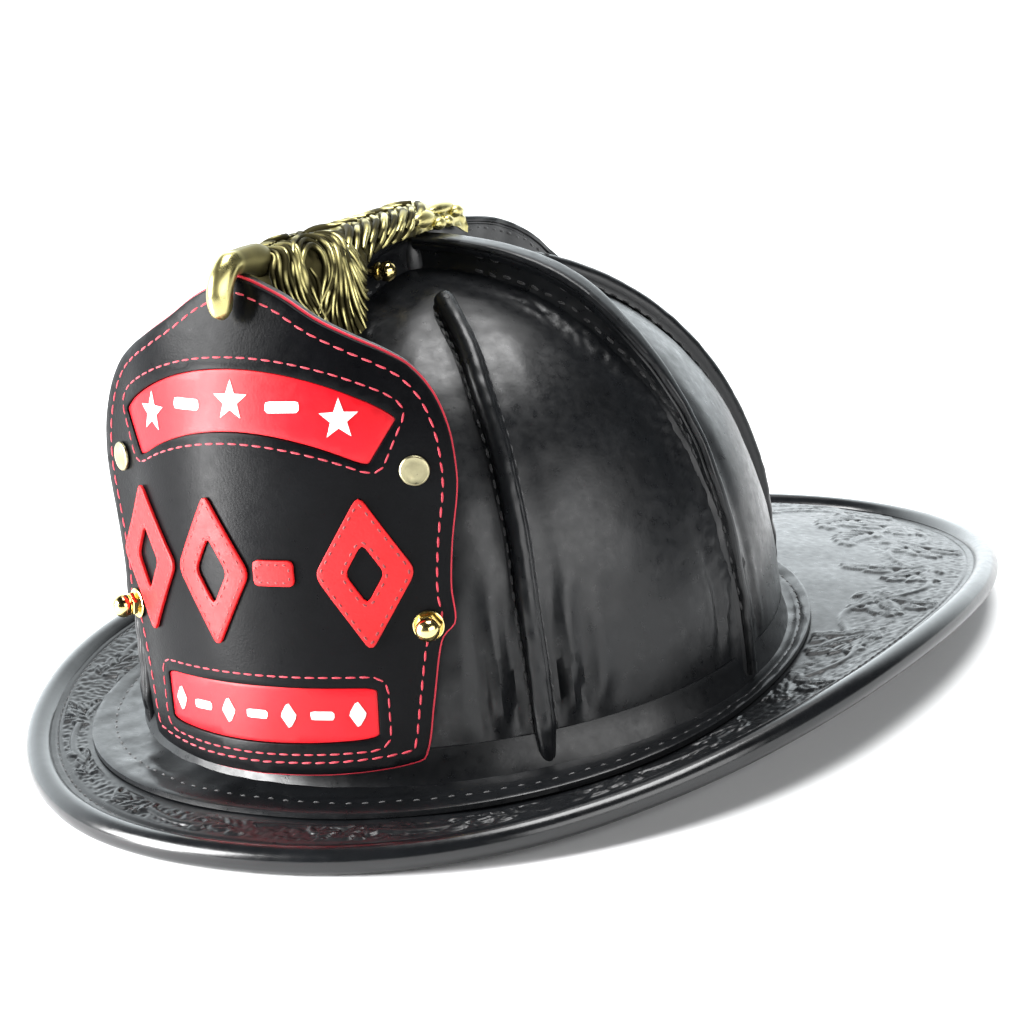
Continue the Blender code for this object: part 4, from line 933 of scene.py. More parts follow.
def make_comb(name, degrees, crest, reach):
    """A raised leather fin: flared foot, thinner waist, a lip over a tooled groove, rounded top."""
    phi = math.radians(degrees)
    rises = np.linspace(0.006, 0.985, 200)
    foot, outward, side, height = comb_line(phi, crest, reach, rises)
    broad = smooth((rises - 0.30) / 0.45)
    top = lerp(1.6, 4.4 if degrees in (90, 270) else 2.2, broad)
    waist = lerp(1.5, 1.9, broad)
    flare = lerp(3.6, 2.7, broad)
    wander = 0.35 * ripples(foot, 30.0, int(degrees) + 1)
    # across, height share, and depth below the top edge in millimetres
    half = [(flare + 0.7, None, -0.9), (flare, None, 0.35), (lerp(flare, waist, 0.7), None, 1.4),
            (waist, 0.35, 0.0), (waist, 0.62, 0.0), (lerp(waist, top, 0.75), 1.0, -4.4),
            (top * 0.97, 1.0, -3.0), (top - 0.55, 1.0, -2.55), (top - 0.52, 1.0, -2.2), (top, 1.0, -1.75),
            (top, 1.0, -1.0), (top * 0.90, 1.0, -0.35), (top * 0.66, 1.0, -0.05), (top * 0.30, 1.0, 0.0)]
    rows = []
    for way in (1, -1):
        for across, share, drop in (half if way > 0 else half[::-1]):
            level = drop if share is None else height * share + drop
            level = np.maximum(level, -0.9 if share is None else 0.6)
            rows.append(foot + side * (way * across + wander * (share or 0))[:, None]
                        + outward * np.broadcast_to(level, rises.shape)[:, None])
    grid = np.stack(rows, axis=1)
    edge = ripples(grid, 9.0, int(degrees) + 2) * 0.12
    grid = grid + side[:, None] * edge[..., None]
    piece(name + "_leather", skin(grid), "black_leather", stands_for=[name])
    rows, sewn = [], slice(14, 178)
    for way in (1, -1):
        jitter = 0.25 * ripples(foot, 6.0, int(degrees) + 5 + way)
        for level, lean in ((height - 4.2, 0.75), (np.minimum(2.3, height * 0.4), 0.35)):
            across = way * (lerp(waist, top, lean * 0.5) + 0.12) + wander * 0.6
            line = foot + side * across[:, None] + outward * (level + jitter)[:, None]
            rows.append(stitches(line[sewn], (side * way)[sewn], pitch=5.2, thick=0.95, bury=0.15))
    piece(name + "_stitching", merged(rows), "black_thread")


def make_rib(name, degrees):
    """A leather-covered cord up a seam, with a lapped edge and, near its upper end, a dark matte disc as the
    painted shade of a small hole.
    """
    phi = math.radians(degrees)
    rises = np.linspace(0.004, 0.80, 150)
    foot, outward, side = crown_frame(phi, rises)
    angle = np.radians(np.linspace(-28, 208, 25))
    section = np.stack([3.35 * np.cos(angle), 2.25 + 3.3 * np.sin(angle)], axis=1)
    section = np.vstack([[4.5, -0.35], [3.75, -0.15], section[1:-1], [-3.75, -0.15], [-4.5, -0.35]])
    lap = np.exp(-((np.degrees(np.arctan2(section[:, 1] - 2.25, section[:, 0])) - 48) / 6.0) ** 2) * 0.28
    section = section * (1 - lap[:, None] / 3.3)
    end = np.sqrt(np.clip(rises / 0.035, 0.0, 1.0))
    end = lerp(0.45, 1.0, end) * np.sqrt(np.clip((0.803 - rises) / 0.02, 0.0, 1.0))
    flat = 1 - 0.22 * np.exp(-((rises - 0.07) / 0.06) ** 2)
    wander = 0.45 * ripples(foot, 38.0, degrees)
    grid = (foot[:, None] + side[:, None] * (section[:, :1] * end[:, None, None] + wander[:, None, None])
            + outward[:, None] * (section[:, 1:] * (end * flat)[:, None, None]))
    creased = 0.22 * ripples(grid, 7.0, degrees + 1) * np.exp(-(rises / 0.14) ** 2)[:, None]
    grid = grid + outward[:, None] * (creased + 0.05 * ripples(grid, 5.0, degrees + 2))[..., None]
    piece(name + "_leather", skin(grid), "black_leather", stands_for=[name])
    row = []
    for way in (1, -1):
        line = foot + side * (wander + way * 3.95)[:, None] + outward * 0.5
        slope = unit(side * way * 0.6 + outward)
        row.append(stitches(line[5:-6], slope[5:-6], share=0.6, bury=0.2))
    piece(name + "_stitching", merged(row), "black_thread")
    # painted shade: a dark matte disc stands in for the shade inside the hole
    near_end = np.searchsorted(rises, 0.762)
    spot = grid[near_end, len(section) // 2]
    hole = ((AXIS, 0.02), (0.75, 0.04), (0.95, 0.16), (1.1, 0.10), (1.1, -0.4), (AXIS, -0.4))
    piece(name + "_hole", turned(hole, spot, outward[near_end], 24), "black_thread")


def make_saddle():
    """The leather cap where the combs meet, under the finial."""
    low, high = box_mm("comb_saddle")
    middle, half, top = (low + high) / 2, 5.8, low[2] + 10.5
    angle = turns(72)
    rows = []
    for across, level in ((0.02, 1.0), (0.35, 0.98), (0.62, 0.90), (0.82, 0.72), (0.94, 0.46), (1.0, 0.15),
                          (1.0, 0.0), (0.6, 0.0), (0.02, 0.0)):
        rows.append(level_ring(middle, half * across, lerp(low[2], top, level), angle))
    piece("saddle_leather", skin(np.array(rows)), "black_leather", stands_for=["comb_saddle"])


# ---- the front shield ---------------------------------------------------------------------------

# half width below and above, height below and above in the middle, and the same at the corners
UPPER_PANEL = (44.0, 54.0, 108.0, 127.0, 96.8, 111.5)
LOWER_PANEL = (40.5, 41.0, 10.5, 28.8, 12.6, 28.5)
EMBLEM_HEIGHT, EMBLEM_V = 24.5, 64.5
# the lower and upper side of each layer, in front of the shield's face
BACKING_LAYER, RED_LAYER, FACE_LAYER = (-4.0, -1.95), (-1.9, -1.4), (-1.3, 0.0)
PANEL_LAYER, INK_LAYER, EMBLEM_LAYER = (-1.3, -0.62), (-0.6, -0.34), (0.3, 1.3)


def panel_outline(half_low, half_high, middle_low, middle_high, corner_low, corner_high,
                  grow=0.0, round_off=1.4):
    """A panel's outline, with curved lower and upper edges and rounded corners."""
    c = np.linspace(-1, 1, 41)
    bottom = np.stack([c * (half_low + grow), lerp(middle_low, corner_low, c * c) - grow], axis=1)
    top = np.stack([-c * (half_high + grow), lerp(middle_high, corner_high, c * c) + grow], axis=1)
    loop = []
    corners = (bottom, top)
    for edge, following in zip(corners, corners[::-1]):
        loop += edge[3:-3].tolist()
        side = unit(following[0] - edge[-1])
        start, stop = edge[-1] + side * round_off, following[0] - side * round_off
        loop += [bezier(edge[-4], edge[-1], start, s).tolist() for s in np.linspace(0.2, 1, 4)]
        loop += respace(np.array([start, stop]), step=2.5)[1:-1].tolist()
        loop += [bezier(stop, following[0], following[3], s).tolist() for s in np.linspace(0, 0.8, 4)]
    return np.array(loop)


def shield_loop():
    """The shield's scrolled outline, anticlockwise."""
    right = np.array(SHIELD_OUTLINE)
    half = np.vstack([[[0.0, -0.2], [26.0, 0.7]], right])
    curve = spline(half, 120)
    return closed_line(np.vstack([curve[:-1], [[0.0, 154.1]], (curve[1:-1] * [-1, 1])[::-1]]), 1.8)


def star(centre, radius, notch):
    """A five-pointed star."""
    corners = []
    for k in range(10):
        angle = math.pi / 2 + k * math.pi / 5
        reach = radius if k % 2 == 0 else radius * notch
        corners.append((centre[0] + reach * math.cos(angle), centre[1] + reach * math.sin(angle)))
    return closed_line(corners, 0.9)


def slab(centre, half_width, half_height, round_off=1.0):
    """A plain bar with rounded corners."""
    loop = []
    for sx, sy, start in ((1, -1, -90), (1, 1, 0), (-1, 1, 90), (-1, -1, 180)):
        for step in (0, 30, 60, 90):
            angle = math.radians(start + step)
            loop.append((centre[0] + sx * (half_width - round_off) + round_off * math.cos(angle),
                         centre[1] + sy * (half_height - round_off) + round_off * math.sin(angle)))
    return closed_line(loop, 1.2)


def lozenge(centre, half_width, half_height, round_off=2.0):
    """A diamond with rounded corners."""
    corners = np.array([(centre[0], centre[1] - half_height), (centre[0] + half_width, centre[1]),
                        (centre[0], centre[1] + half_height), (centre[0] - half_width, centre[1])])
    loop = []
    for k in range(4):
        here, before, after = corners[k], corners[k - 1], corners[(k + 1) % 4]
        a, b = here + unit(before - here) * round_off, here + unit(after - here) * round_off
        loop += [bezier(a, here, b, s) for s in (0, 0.33, 0.67, 1)]
    return closed_line(loop, 1.4)


def shield_seam(loop, out, pitch, share, thick, slant=0.0, bury=0.2):
    """Stitches along a closed line on the shield's face."""
    line = respace(np.vstack([loop, loop[:1]]), step=0.8)
    on = shield_bend(line[:, 0], line[:, 1], out)
    outward = unit(shield_bend(line[:, 0], line[:, 1], out + 1) - on)
    return stitches(on, outward, pitch, share, thick, bury=bury, slant=slant)


def shield_bend(u, v, out):
    """The shield's face, with the slight unevenness of a leather sheet."""
    on = shield_point(u, v, out)
    wave = 0.10 * ripples(np.stack([u, v, 0 * u], axis=-1), 34.0, 51)
    normal = unit(shield_point(u, v, out + 1) - on)
    return on + normal * wave[..., None]


def make_shield():
    """The frontpiece: backing, red edge, black face with two windows, red panels and stitching."""
    outline = shield_loop()
    windows = [panel_outline(*UPPER_PANEL), panel_outline(*LOWER_PANEL)]
    face = sheet_of(shrunk(outline, 0.7), windows, *FACE_LAYER, shield_bend, 2.6, 0.45)
    piece("shield_face", face, "shield_leather", stands_for=["front_shield"])
    piece("shield_backing", sheet_of(outline, [], *BACKING_LAYER, shield_bend, 4.0, 0.4), "rough_leather")
    piece("shield_red_edge", sheet_of(shrunk(outline, 0.1), [], *RED_LAYER, shield_bend, 6.0, 0.15),
          "edge_red")
    for word, window in zip(("upper", "lower"), windows):
        panel = sheet_of(shrunk(window, 0.15), [], *PANEL_LAYER, shield_bend, 2.6, 0.25)
        piece(f"{word}_panel_leather", panel, "red_leather", stands_for=[f"shield_{word}_panel"])

    rim = shrunk(outline, 4.6)
    sewn = shield_seam(rim, 0.0, pitch=4.6, share=0.86, thick=0.68, slant=0.06, bury=0.1)
    piece("shield_rim_stitching", sewn, "red_thread")
    frames = []
    for panel in (UPPER_PANEL, LOWER_PANEL):
        loop = panel_outline(*panel, grow=3.4, round_off=5.0)
        frames.append(shield_seam(loop, 0.0, pitch=4.4, share=0.86, thick=0.62, bury=0.1))
    piece("shield_panel_stitching", merged(frames), "red_thread")
    make_printing()
    make_emblems()


def make_printing():
    """Plain painted shapes on the two red panels, where the real shield has lettering."""
    shapes = []
    for u, kind in ((-36, "star"), (-18, "bar"), (0, "star"), (18, "bar"), (36, "star")):
        middle = lerp(117.5, 104.5, (u / 54.0) ** 2)
        if kind == "star":
            loop = star((u, middle), 6.4, 0.42)
        else:
            loop = slab((u, middle - 0.3), 5.6, 1.7, 0.8)
        shapes.append(sheet_of(loop, [], *INK_LAYER, shield_bend, 1.6, 0.1))
    for k in range(7):
        u = (k - 3) * 11.4
        middle = lerp(19.6, 20.6, (u / 41.0) ** 2)
        loop = lozenge((u, middle), 2.9, 4.4, 0.6) if k % 2 == 0 else slab((u, middle), 3.9, 1.35, 0.6)
        shapes.append(sheet_of(loop, [], *INK_LAYER, shield_bend, 1.6, 0.1))
    piece("shield_printing", merged(shapes), "white_ink")


def make_emblems():
    """The middle row: three open lozenges and a bar, sewn along both edges with red thread."""
    threads = []
    for node, u, half_width, stroke in (("emblem_outer_right", -45.0, 17.0, 8.0),
                                        ("emblem_inner_right", -11.5, 14.5, 7.0),
                                        ("emblem_left", 40.5, 15.5, 8.0)):
        outer = lozenge((u, EMBLEM_V), half_width, EMBLEM_HEIGHT, 3.0)
        slope = math.hypot(half_width, EMBLEM_HEIGHT)
        inner_w = half_width - stroke * slope / EMBLEM_HEIGHT
        inner_h = EMBLEM_HEIGHT - stroke * slope / half_width
        inner = lozenge((u, EMBLEM_V), inner_w, inner_h, min(2.0, inner_w * 0.45))
        piece(node + "_leather", sheet_of(outer, [inner], *EMBLEM_LAYER, shield_bend, 1.8, 0.35),
              "red_emblem", stands_for=[node])
        for loop, inset in ((outer, 1.25), (inner, -1.25)):
            threads.append(shield_seam(shrunk(loop, inset), 1.28, pitch=3.1, share=0.66, thick=0.8))
    bar = slab((11.5, 65.0), 6.8, 4.0, 1.4)
    piece("emblem_bar_leather", sheet_of(bar, [], *EMBLEM_LAYER, shield_bend, 1.8, 0.35), "red_emblem",
          stands_for=["emblem_bar"])
    threads.append(shield_seam(shrunk(bar, 1.25), 1.28, pitch=2.8, share=0.62, thick=0.75))
    piece("emblem_stitching", merged(threads), "dark_red_thread")


# (radius, height above the shield's face)
RIVET_PROFILE = ((AXIS, 0.25), (4.4, 0.25), (4.65, 0.45), (4.65, 0.85), (4.45, 1.15), (4.1, 1.3),
                 (3.85, 1.22), (2.4, 1.38), (AXIS, 1.42))
WASHER_PROFILE = ((AXIS, 0.3), (4.5, 0.3), (4.8, 0.5), (4.78, 0.85), (4.5, 1.0), (3.4, 0.75), (2.6, 0.9),
                  (AXIS, 0.9))
ACORN_COLLAR = ((AXIS, 1.72), (3.7, 1.72), (3.95, 2.0), (3.95, 3.2), (3.6, 3.5), (AXIS, 3.5))
ACORN_WAIST = ((AXIS, 3.3), (2.9, 3.3))


def ball_on(neck, radius, half_height, centre, first_degrees):
    """A turned neck that ends in a ball, as a (radius, height) profile."""
    profile = list(neck)
    for degrees in range(first_degrees, 91, 9):
        angle = math.radians(degrees)
        profile.append((max(AXIS, radius * math.cos(angle)), centre + half_height * math.sin(angle)))
    return profile


def make_shield_hardware():
    """The flat rivets, and the washers with their acorn nuts: a hexagonal collar, a waist and a ball."""
    for side, name in ((1, "left"), (-1, "right")):
        foot, axis = shield_point(side * RIVET_U, RIVET_V), shield_normal(side * RIVET_U, RIVET_V)
        piece(f"rivet_{name}", turned(RIVET_PROFILE, foot, axis), "dull_brass",
              stands_for=[f"shield_rivet_{name}"])
        foot, axis = shield_point(side * NUT_U, NUT_V), shield_normal(side * NUT_U, NUT_V)
        piece(f"washer_{name}", turned(WASHER_PROFILE, foot, axis), "bright_brass",
              stands_for=[f"shield_washer_{name}"])
        ball = turned(ball_on(ACORN_WAIST, 3.7, 3.45, 5.5, -45), foot, axis)
        piece(f"acorn_{name}", merged([turned(ACORN_COLLAR, foot, axis, 48, flats=6), ball]), "bright_brass",
              stands_for=[f"shield_nut_{name}"], crease=35)


# ---- the eagle ----------------------------------------------------------------------------------

# y, z and radius along the beak and neck
BEAK = ((-165.0, 161.5, 2.4), (-165.9, 166.0, 3.9), (-164.6, 171.8, 4.1), (-159.8, 176.6, 3.9),
        (-153.5, 177.1, 3.8), (-146.5, 176.2, 4.4))
# y, top, shoulder, side x and z, tip x and z, and the height of the hollow underneath
EAGLE_BODY = ((-145.0, 177.2, 4.9, 5.8, 171.5, 6.0, 165.0, 168.0),
              (-139.0, 178.0, 6.0, 8.0, 170.0, 9.0, 159.5, 167.0),
              (-131.0, 178.6, 7.0, 10.5, 168.0, 14.0, 152.0, 168.5),
              (-124.0, 178.3, 7.5, 13.0, 166.5, 18.0, 147.0, 169.0),
              (-118.0, 178.0, 7.8, 14.5, 166.0, 19.5, 148.5, 169.8),
              (-111.0, 177.7, 8.0, 13.5, 167.5, 16.5, 157.0, 170.3),
              (-103.0, 177.4, 8.0, 12.0, 169.0, 13.0, 165.0, 170.6),
              (-94.0, 177.0, 7.5, 10.5, 170.0, 11.0, 167.5, 170.8),
              (-71.0, 176.8, 7.5, 10.5, 170.5, 11.0, 168.2, 171.0),
              (-52.0, 176.0, 7.0, 9.0, 170.0, 9.5, 167.4, 170.0),
              (-42.0, 173.4, 5.5, 7.0, 169.5, 7.5, 165.5, 170.2),
              (-33.0, 171.3, 3.0, 6.0, 167.0, 6.5, 161.5, 169.4))
EAGLE_FRONT, EAGLE_REAR = EAGLE_BODY[0][0], EAGLE_BODY[-1][0]
EAGLE_STATIONS = spline(EAGLE_BODY, 200)
HOLLOW = (-130.6, 0.66)                 # the middle of the hollow under the wing: y and share
BEAK_ROOT = (-142.5, 174.6, 4.5)        # where the neck goes on inside the plumage
EAGLE_TOP_Z = 180.7
# centre and half sizes of the lumps on the tail and claws
EAGLE_LUMPS = (((8.4, -64.0, 172.6), (2.8, 6.6, 3.0)), ((9.8, -56.5, 170.0), (2.1, 3.0, 2.2)),
               ((9.2, -50.5, 169.6), (2.0, 2.6, 2.1)), ((5.6, -49.0, 173.4), (2.6, 8.0, 2.1)),
               ((6.6, -41.0, 171.2), (2.3, 3.2, 2.2)), ((4.4, -36.6, 170.4), (2.2, 2.8, 2.0)))


def eagle_point(y, share, lift=0.0):
    """A point on the eagle's left side: share is 0 on the ridge of the back and 1 at the feather tips."""
    y, share = np.broadcast_arrays(np.asarray(y, float), np.asarray(share, float))
    flat_y, flat_share = np.clip(y.ravel(), EAGLE_FRONT + 0.1, EAGLE_REAR - 0.1), share.ravel()
    _, top, shoulder, side_x, side_z, tip_x, tip_z, _ = (
        np.interp(flat_y, EAGLE_STATIONS[:, 0], column) for column in EAGLE_STATIONS.T)
    knots = [(0 * top, top - 0.5), (shoulder * 0.85, top - 2.0), (side_x * 0.93, side_z + 0.6),
             (tip_x - 0.9, tip_z + 0.8)]
    t = np.clip(flat_share, 0, 1) * 3
    i = np.minimum(t.astype(int), 2)
    f = t - i
    stack = np.stack([np.stack(k, axis=1) for k in knots])
    first = 2 * stack[0] - stack[1]
    first[:, 1] = stack[1][:, 1]
    padded = np.concatenate([first[None], stack, (2 * stack[-1] - stack[-2])[None]])
    pick = np.arange(len(t))
    p0, p1, p2, p3 = (padded[i + k, pick] for k in range(4))
    g = f[:, None]
    square, cube = 2 * p0 - 5 * p1 + 4 * p2 - p3, 3 * (p1 - p2) + p3 - p0
    place = p1 + 0.5 * g * (p2 - p0 + g * (square + g * cube))
    slope = p2 - p0 + g * (2 * square + 3 * g * cube)
    normal = unit(np.stack([-slope[:, 1], slope[:, 0]], axis=1))
    place = place + normal * np.broadcast_to(lift, y.shape).ravel()[:, None]
    return np.stack([place[:, 0], y.ravel(), place[:, 1]], axis=1).reshape(*y.shape, 3)


def mirrored(shape):
    """A shape together with its mirror image."""
    points, faces = shape
    return merged([shape, (points * [-1, 1, 1], [face[::-1] for face in faces])])


def feather(line, radius, seed):
    """A wavy strand over the eagle's side, from (y, share) points; its painted light is 1 on the outside and
    falls to painted shade on the inner side.
    """
    line = respace(spline(np.array(line, float) * [1.0, 22.0], 40), step=0.8) / [1.0, 22.0]
    t = np.linspace(0, 1, len(line))
    sway = 0.45 * np.sin(TAU * (1.2 * t + 0.37 * seed)) * np.sin(math.pi * t)
    lift = 0.25 + 0.35 * (seed * 7 % 5) / 4 + 0.5 * np.sin(math.pi * t) ** 2
    centre = eagle_point(line[:, 0] + sway, line[:, 1], lift)
    outward = unit(eagle_point(line[:, 0] + sway, line[:, 1], lift + 1) - centre)
    along = unit(np.gradient(centre, axis=0))
    side = unit(np.cross(along, outward))
    swell = radius * lerp(0.3, 1.0, np.sin(math.pi * np.clip(t * 0.86 + 0.1, 0, 1)) ** 0.7)
    angle = turns(8)
    ring = side[:, None] * np.cos(angle)[:, None] + outward[:, None] * (np.sin(angle)[:, None] * 1.1)
    grid = centre[:, None] + ring * swell[:, None, None]
    # painted light and shade: bright on the strand's outer side, painted shade on its inner side, varied at
    # random along it
    patchy = 0.62 + 0.38 * ripples(centre, 7.0, seed)
    shine = smooth((np.sin(angle) + 0.1) / 0.9) * patchy[:, None]
    return skin(grid), np.clip(shine, 0, 1).ravel()


def eagle_strands():
    """The plumage: (control points, radius) of every strand, from the collar to the back."""
    strands = []
    for k in range(7):                  # the neck: thick, nearly upright strands
        start = -143.2 + 1.75 * k
        strands.append(([(start, 0.05), (start + 0.5, 0.28), (start - 2.6 + 0.2 * k, 0.64),
                         (start - 2.2 + 0.35 * k, 0.86), (start - 0.6 + 0.5 * k, 1.0)],
                        0.9 + 0.16 * (k % 3)))
    hollow_y, hollow_share = HOLLOW
    arc = [(-133.6, 1.0), (-137.0, 0.86), (-136.6, 0.62), (-132.2, 0.36), (-125.6, 0.26), (-122.8, 0.42),
           (-124.4, 0.63), (-128.8, 0.82), (-132.2, 0.97)]
    for grow, thick in ((0.72, 1.0), (1.0, 0.85), (1.26, 0.95)):      # arcs round the hollow
        line = [(hollow_y + grow * (y - hollow_y), min(1.0, hollow_share + grow * (f - hollow_share)))
                for y, f in arc]
        strands.append((line, thick))
    strands.append(([(-134.6, 0.50), (-135.4, 0.66), (-134.2, 0.86)], 1.55))
    strands.append(([(-131.2, 0.62), (-130.4, 0.78), (-132.4, 0.95)], 0.7))
    for k in range(12):                 # the wing: a sheaf that fans out from the shoulder
        spread = k / 11
        strands.append(([(-123.0 + 7.5 * spread, 0.10 + 0.06 * (k % 2)), (-120.4 + 9.0 * spread, 0.38),
                         (-124.2 + 9.4 * spread, 0.64), (-130.6 + 17.0 * spread, 0.84),
                         (-134.0 + 24.0 * spread, 1.0)], 0.95 + 0.22 * (k * 5 % 3 - 1)))
    for k in range(5):                  # its front edge, crossing the sheaf
        strands.append(([(-121.5 + 2.4 * k, 0.30), (-116.5 + 1.8 * k, 0.50), (-114.0 + 1.2 * k, 0.70),
                         (-110.0 + 1.0 * k, 0.94)], 1.0 - 0.12 * (k % 2)))
    for k in range(9):                  # the back: bold locks that sweep down and forward
        start = -103.0 + 5.4 * k
        strands.append(([(start + 4.6, 0.05), (start + 1.4, 0.22), (start - 5.0, 0.42),
                         (start - 11.0, 0.60)], 1.45 - 0.3 * (k % 2)))
    for k in range(5):                  # and finer ones below them
        start = -92.0 + 5.6 * k
        strands.append(([(start + 4.0, 0.34), (start - 1.0, 0.50), (start - 7.0, 0.72),
                         (start - 11.0, 0.94)], 0.85))
    return strands


def eagle_bulk():
    """The body under the plumage, with its painted light and shade: one side from the ridge down, and its
    mirror.
    """
    y = np.linspace(EAGLE_FRONT + 0.4, EAGLE_REAR - 0.4, 150)[:, None]
    share = np.linspace(0, 1, 26)[None, :]
    outer = eagle_point(y, share)
    folds = np.sin(TAU * (y / 4.4 + 1.4 * share)) * smooth((-68 - y) / 15)
    uneven = 0.3 * folds + 0.2 * ripples(outer, 3.0, 61)
    outer = outer + (eagle_point(y, share, 1.0) - outer) * uneven[..., None]
    hollow = np.exp(-(((y + 130.4) / 3.6) ** 2 + ((share - 0.66) / 0.2) ** 2))
    outer = outer - (eagle_point(y, share, 1.0) - eagle_point(y, share)) * (1.9 * hollow)[..., None]
    roof = np.interp(y[:, 0], EAGLE_STATIONS[:, 0], EAGLE_STATIONS[:, 7])
    tip = outer[:, -1] + [-1.6, 0, 0.5]
    under = joined(4.6, y[:, 0], np.minimum(roof - 0.3, outer[:, 0, 2] - 2))
    half = np.concatenate([outer, tip[:, None], under[:, None]], axis=1)
    grid = np.concatenate([half, (half * [-1, 1, 1])[:, ::-1][:, :-1]], axis=1)
    # painted light and shade: lighter on the crests of the folds, along the ridge and towards the tail;
    # painted shade in the hollow under the wing and on the underside
    shine = np.concatenate([0.12 + 0.22 * folds - hollow, np.zeros((len(y), 2))], axis=1)
    shine[:, :5] += smooth(1 - share[:, :5] / 0.16) * 0.7
    shine = shine + 0.8 * smooth((y + 76) / 12)
    shine = np.clip(np.concatenate([shine, shine[:, ::-1][:, :-1]], axis=1), 0, 1)
    return skin(grid), shine.ravel()


def make_eagle():
    """The cast eagle: its body, its plumage and the lumps of its tail and claws."""
    bulk, shine = eagle_bulk()
    shapes, painted_lights = [bulk], [shine]
    for seed, (line, radius) in enumerate(eagle_strands()):
        shape, shine = feather(line, radius, seed)
        shapes.append(mirrored(shape))
        painted_lights += [shine, shine]
    angle = np.radians(np.linspace(-89, 89, 12))
    around = turns(16)
    ball = joined(np.cos(angle)[:, None] * np.cos(around), np.sin(angle)[:, None],
                  np.cos(angle)[:, None] * np.sin(around))
    for centre, size in EAGLE_LUMPS:
        shapes.append(mirrored(skin(np.array(centre) + ball * size)))
        painted_lights.append(np.ones(2 * angle.size * around.size))
    piece("eagle_body", merged(shapes), "antique_brass", stands_for=["eagle_finial"], crease=60,
          painted_light=np.concatenate(painted_lights))


def make_beak():
    """The neck and hooked beak that hold the top of the shield."""
    line = spline(BEAK + (BEAK_ROOT,), 46)
    along = unit(np.gradient(line[:, :2], axis=0))
    angle = turns(28)
    up = np.stack([0 * along[:, 0], -along[:, 1], along[:, 0]], axis=1)
    radius = line[:, 2] * np.minimum(1, 0.25 + np.sqrt(np.arange(46) / 7))
    keel = 1 + 0.10 * np.cos(2 * angle)
    ring = X * np.sin(angle)[:, None] + up[:, None] * (np.cos(angle) * keel)[:, None]
    centre = joined(0, line[:, 0], line[:, 1])
    grid = centre[:, None] + ring * radius[:, None, None]
    grid[..., 2] = np.minimum(grid[..., 2], EAGLE_TOP_Z)
    # painted shade: the neck behind the hook is half as bright where it runs into the plumage
    shine = 1 - smooth((line[:, 0] + 158.5) / 3.5) * 0.5
    piece("eagle_beak", skin(grid), "antique_brass",
          painted_light=np.repeat(shine, 28))


def make_finial_screw():
    """The ball-headed screw through the eagle's foot, and the nut on its far side."""
    neck = ((AXIS, 4.9), (2.8, 4.9), (3.0, 5.2), (2.9, 5.6), (1.9, 5.9), (1.7, 6.2))
    shank = ((AXIS, -9.0), (1.5, -9.0), (1.5, 5.0), (AXIS, 5.0))
    nut = ((1.8, 4.9), (3.3, 4.9), (3.5, 5.2), (3.5, 7.2), (3.2, 7.6), (1.8, 7.6))
    head = turned(ball_on(neck, 3.3, 3.15, 8.7, -55), SCREW_FOOT, X)
    piece("finial_screw_head", merged([head, turned(shank, SCREW_FOOT, X, 24)]), "bright_brass",
          stands_for=["finial_screw"])
    piece("finial_nut_turned", turned(nut, SCREW_FOOT, -X, 48, flats=6), "bright_brass",
          stands_for=["finial_nut"])


# ---- inside: liner and suspension ---------------------------------------------------------------

IMPACT_OUTER, IMPACT_INNER, IMPACT_LOW = 4.6, 6.4, 64.5
FOAM_OUTER, FOAM_INNER, FOAM_LOW = 6.9, 15.8, 68.0
RING_LOW, RING_HIGH, RING_OUTER = 64.5, 67.5, 8.0
STRAP_FOOT_Z, STRAP_FOOT_INSET, STRAP_CROWN_Z = 69.0, 20.0, 118.0
CROWN_STRAPS = (("right_front", -30), ("crosswise", 90), ("left_front", 30))
CROWN_STRAP_HALF_WIDTH, CROWN_STRAP_STACK = 9.0, 2.2
HEAD_Y, HEAD_HALF_WIDTH, HEAD_FRONT_REACH = -75.85, 80.6, 71.5
NAPE_Y, NAPE_RADIUS, KNOB_Z = -47.85, 79.4, 47.5
BAND_THICKNESS = 1.6
RATCHET_RADIUS, RATCHET_FLAT_RADIUS = 79.8, 85.0
BROW_LOW, BROW_HIGH, NAPE_LOW, NAPE_HIGH = 36.0, 60.5, 37.0, 59.0
FLAP_FROM, FLAP_TO, FLAP_LEVEL = 107, 253, 62.0


def keep(node, paint):
    """A CAD node whose own shape is right, with a better finish."""
    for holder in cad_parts[node].material_slots:
        holder.material = PAINTS[paint]


def dome_grid(outer_inset, inner_inset, low, groove=None, rows=30, columns=192, soft=1.2):
    """A dome wall between two insets with a rounded lower rim."""
    phi = turns(columns)
    share = np.sin(np.linspace(0.0, 0.985, rows) * math.pi / 2)[:, None] ** 0.9

    def ring(inset, lift=0.0):
        top = CROWN_TOP_Z - inset
        return crown_wall(phi, lerp(low + lift, top, share), inset)

    inner, outer = ring(inner_inset, soft), ring(outer_inset, soft)
    if groove is not None:
        inner = inner + wall_normals(inner) * groove(phi, share)[..., None]
    middle = (outer_inset + inner_inset) / 2
    rim = [crown_wall(phi, low + soft * 0.3 + 0 * phi, lerp(inner_inset, middle, 0.25)),
           crown_wall(phi, low + 0 * phi, lerp(inner_inset, middle, 0.6)),
           crown_wall(phi, low + 0 * phi, lerp(outer_inset, middle, 0.6)),
           crown_wall(phi, low + soft * 0.3 + 0 * phi, lerp(outer_inset, middle, 0.25))]
    return np.concatenate([inner[::-1], rim, outer])


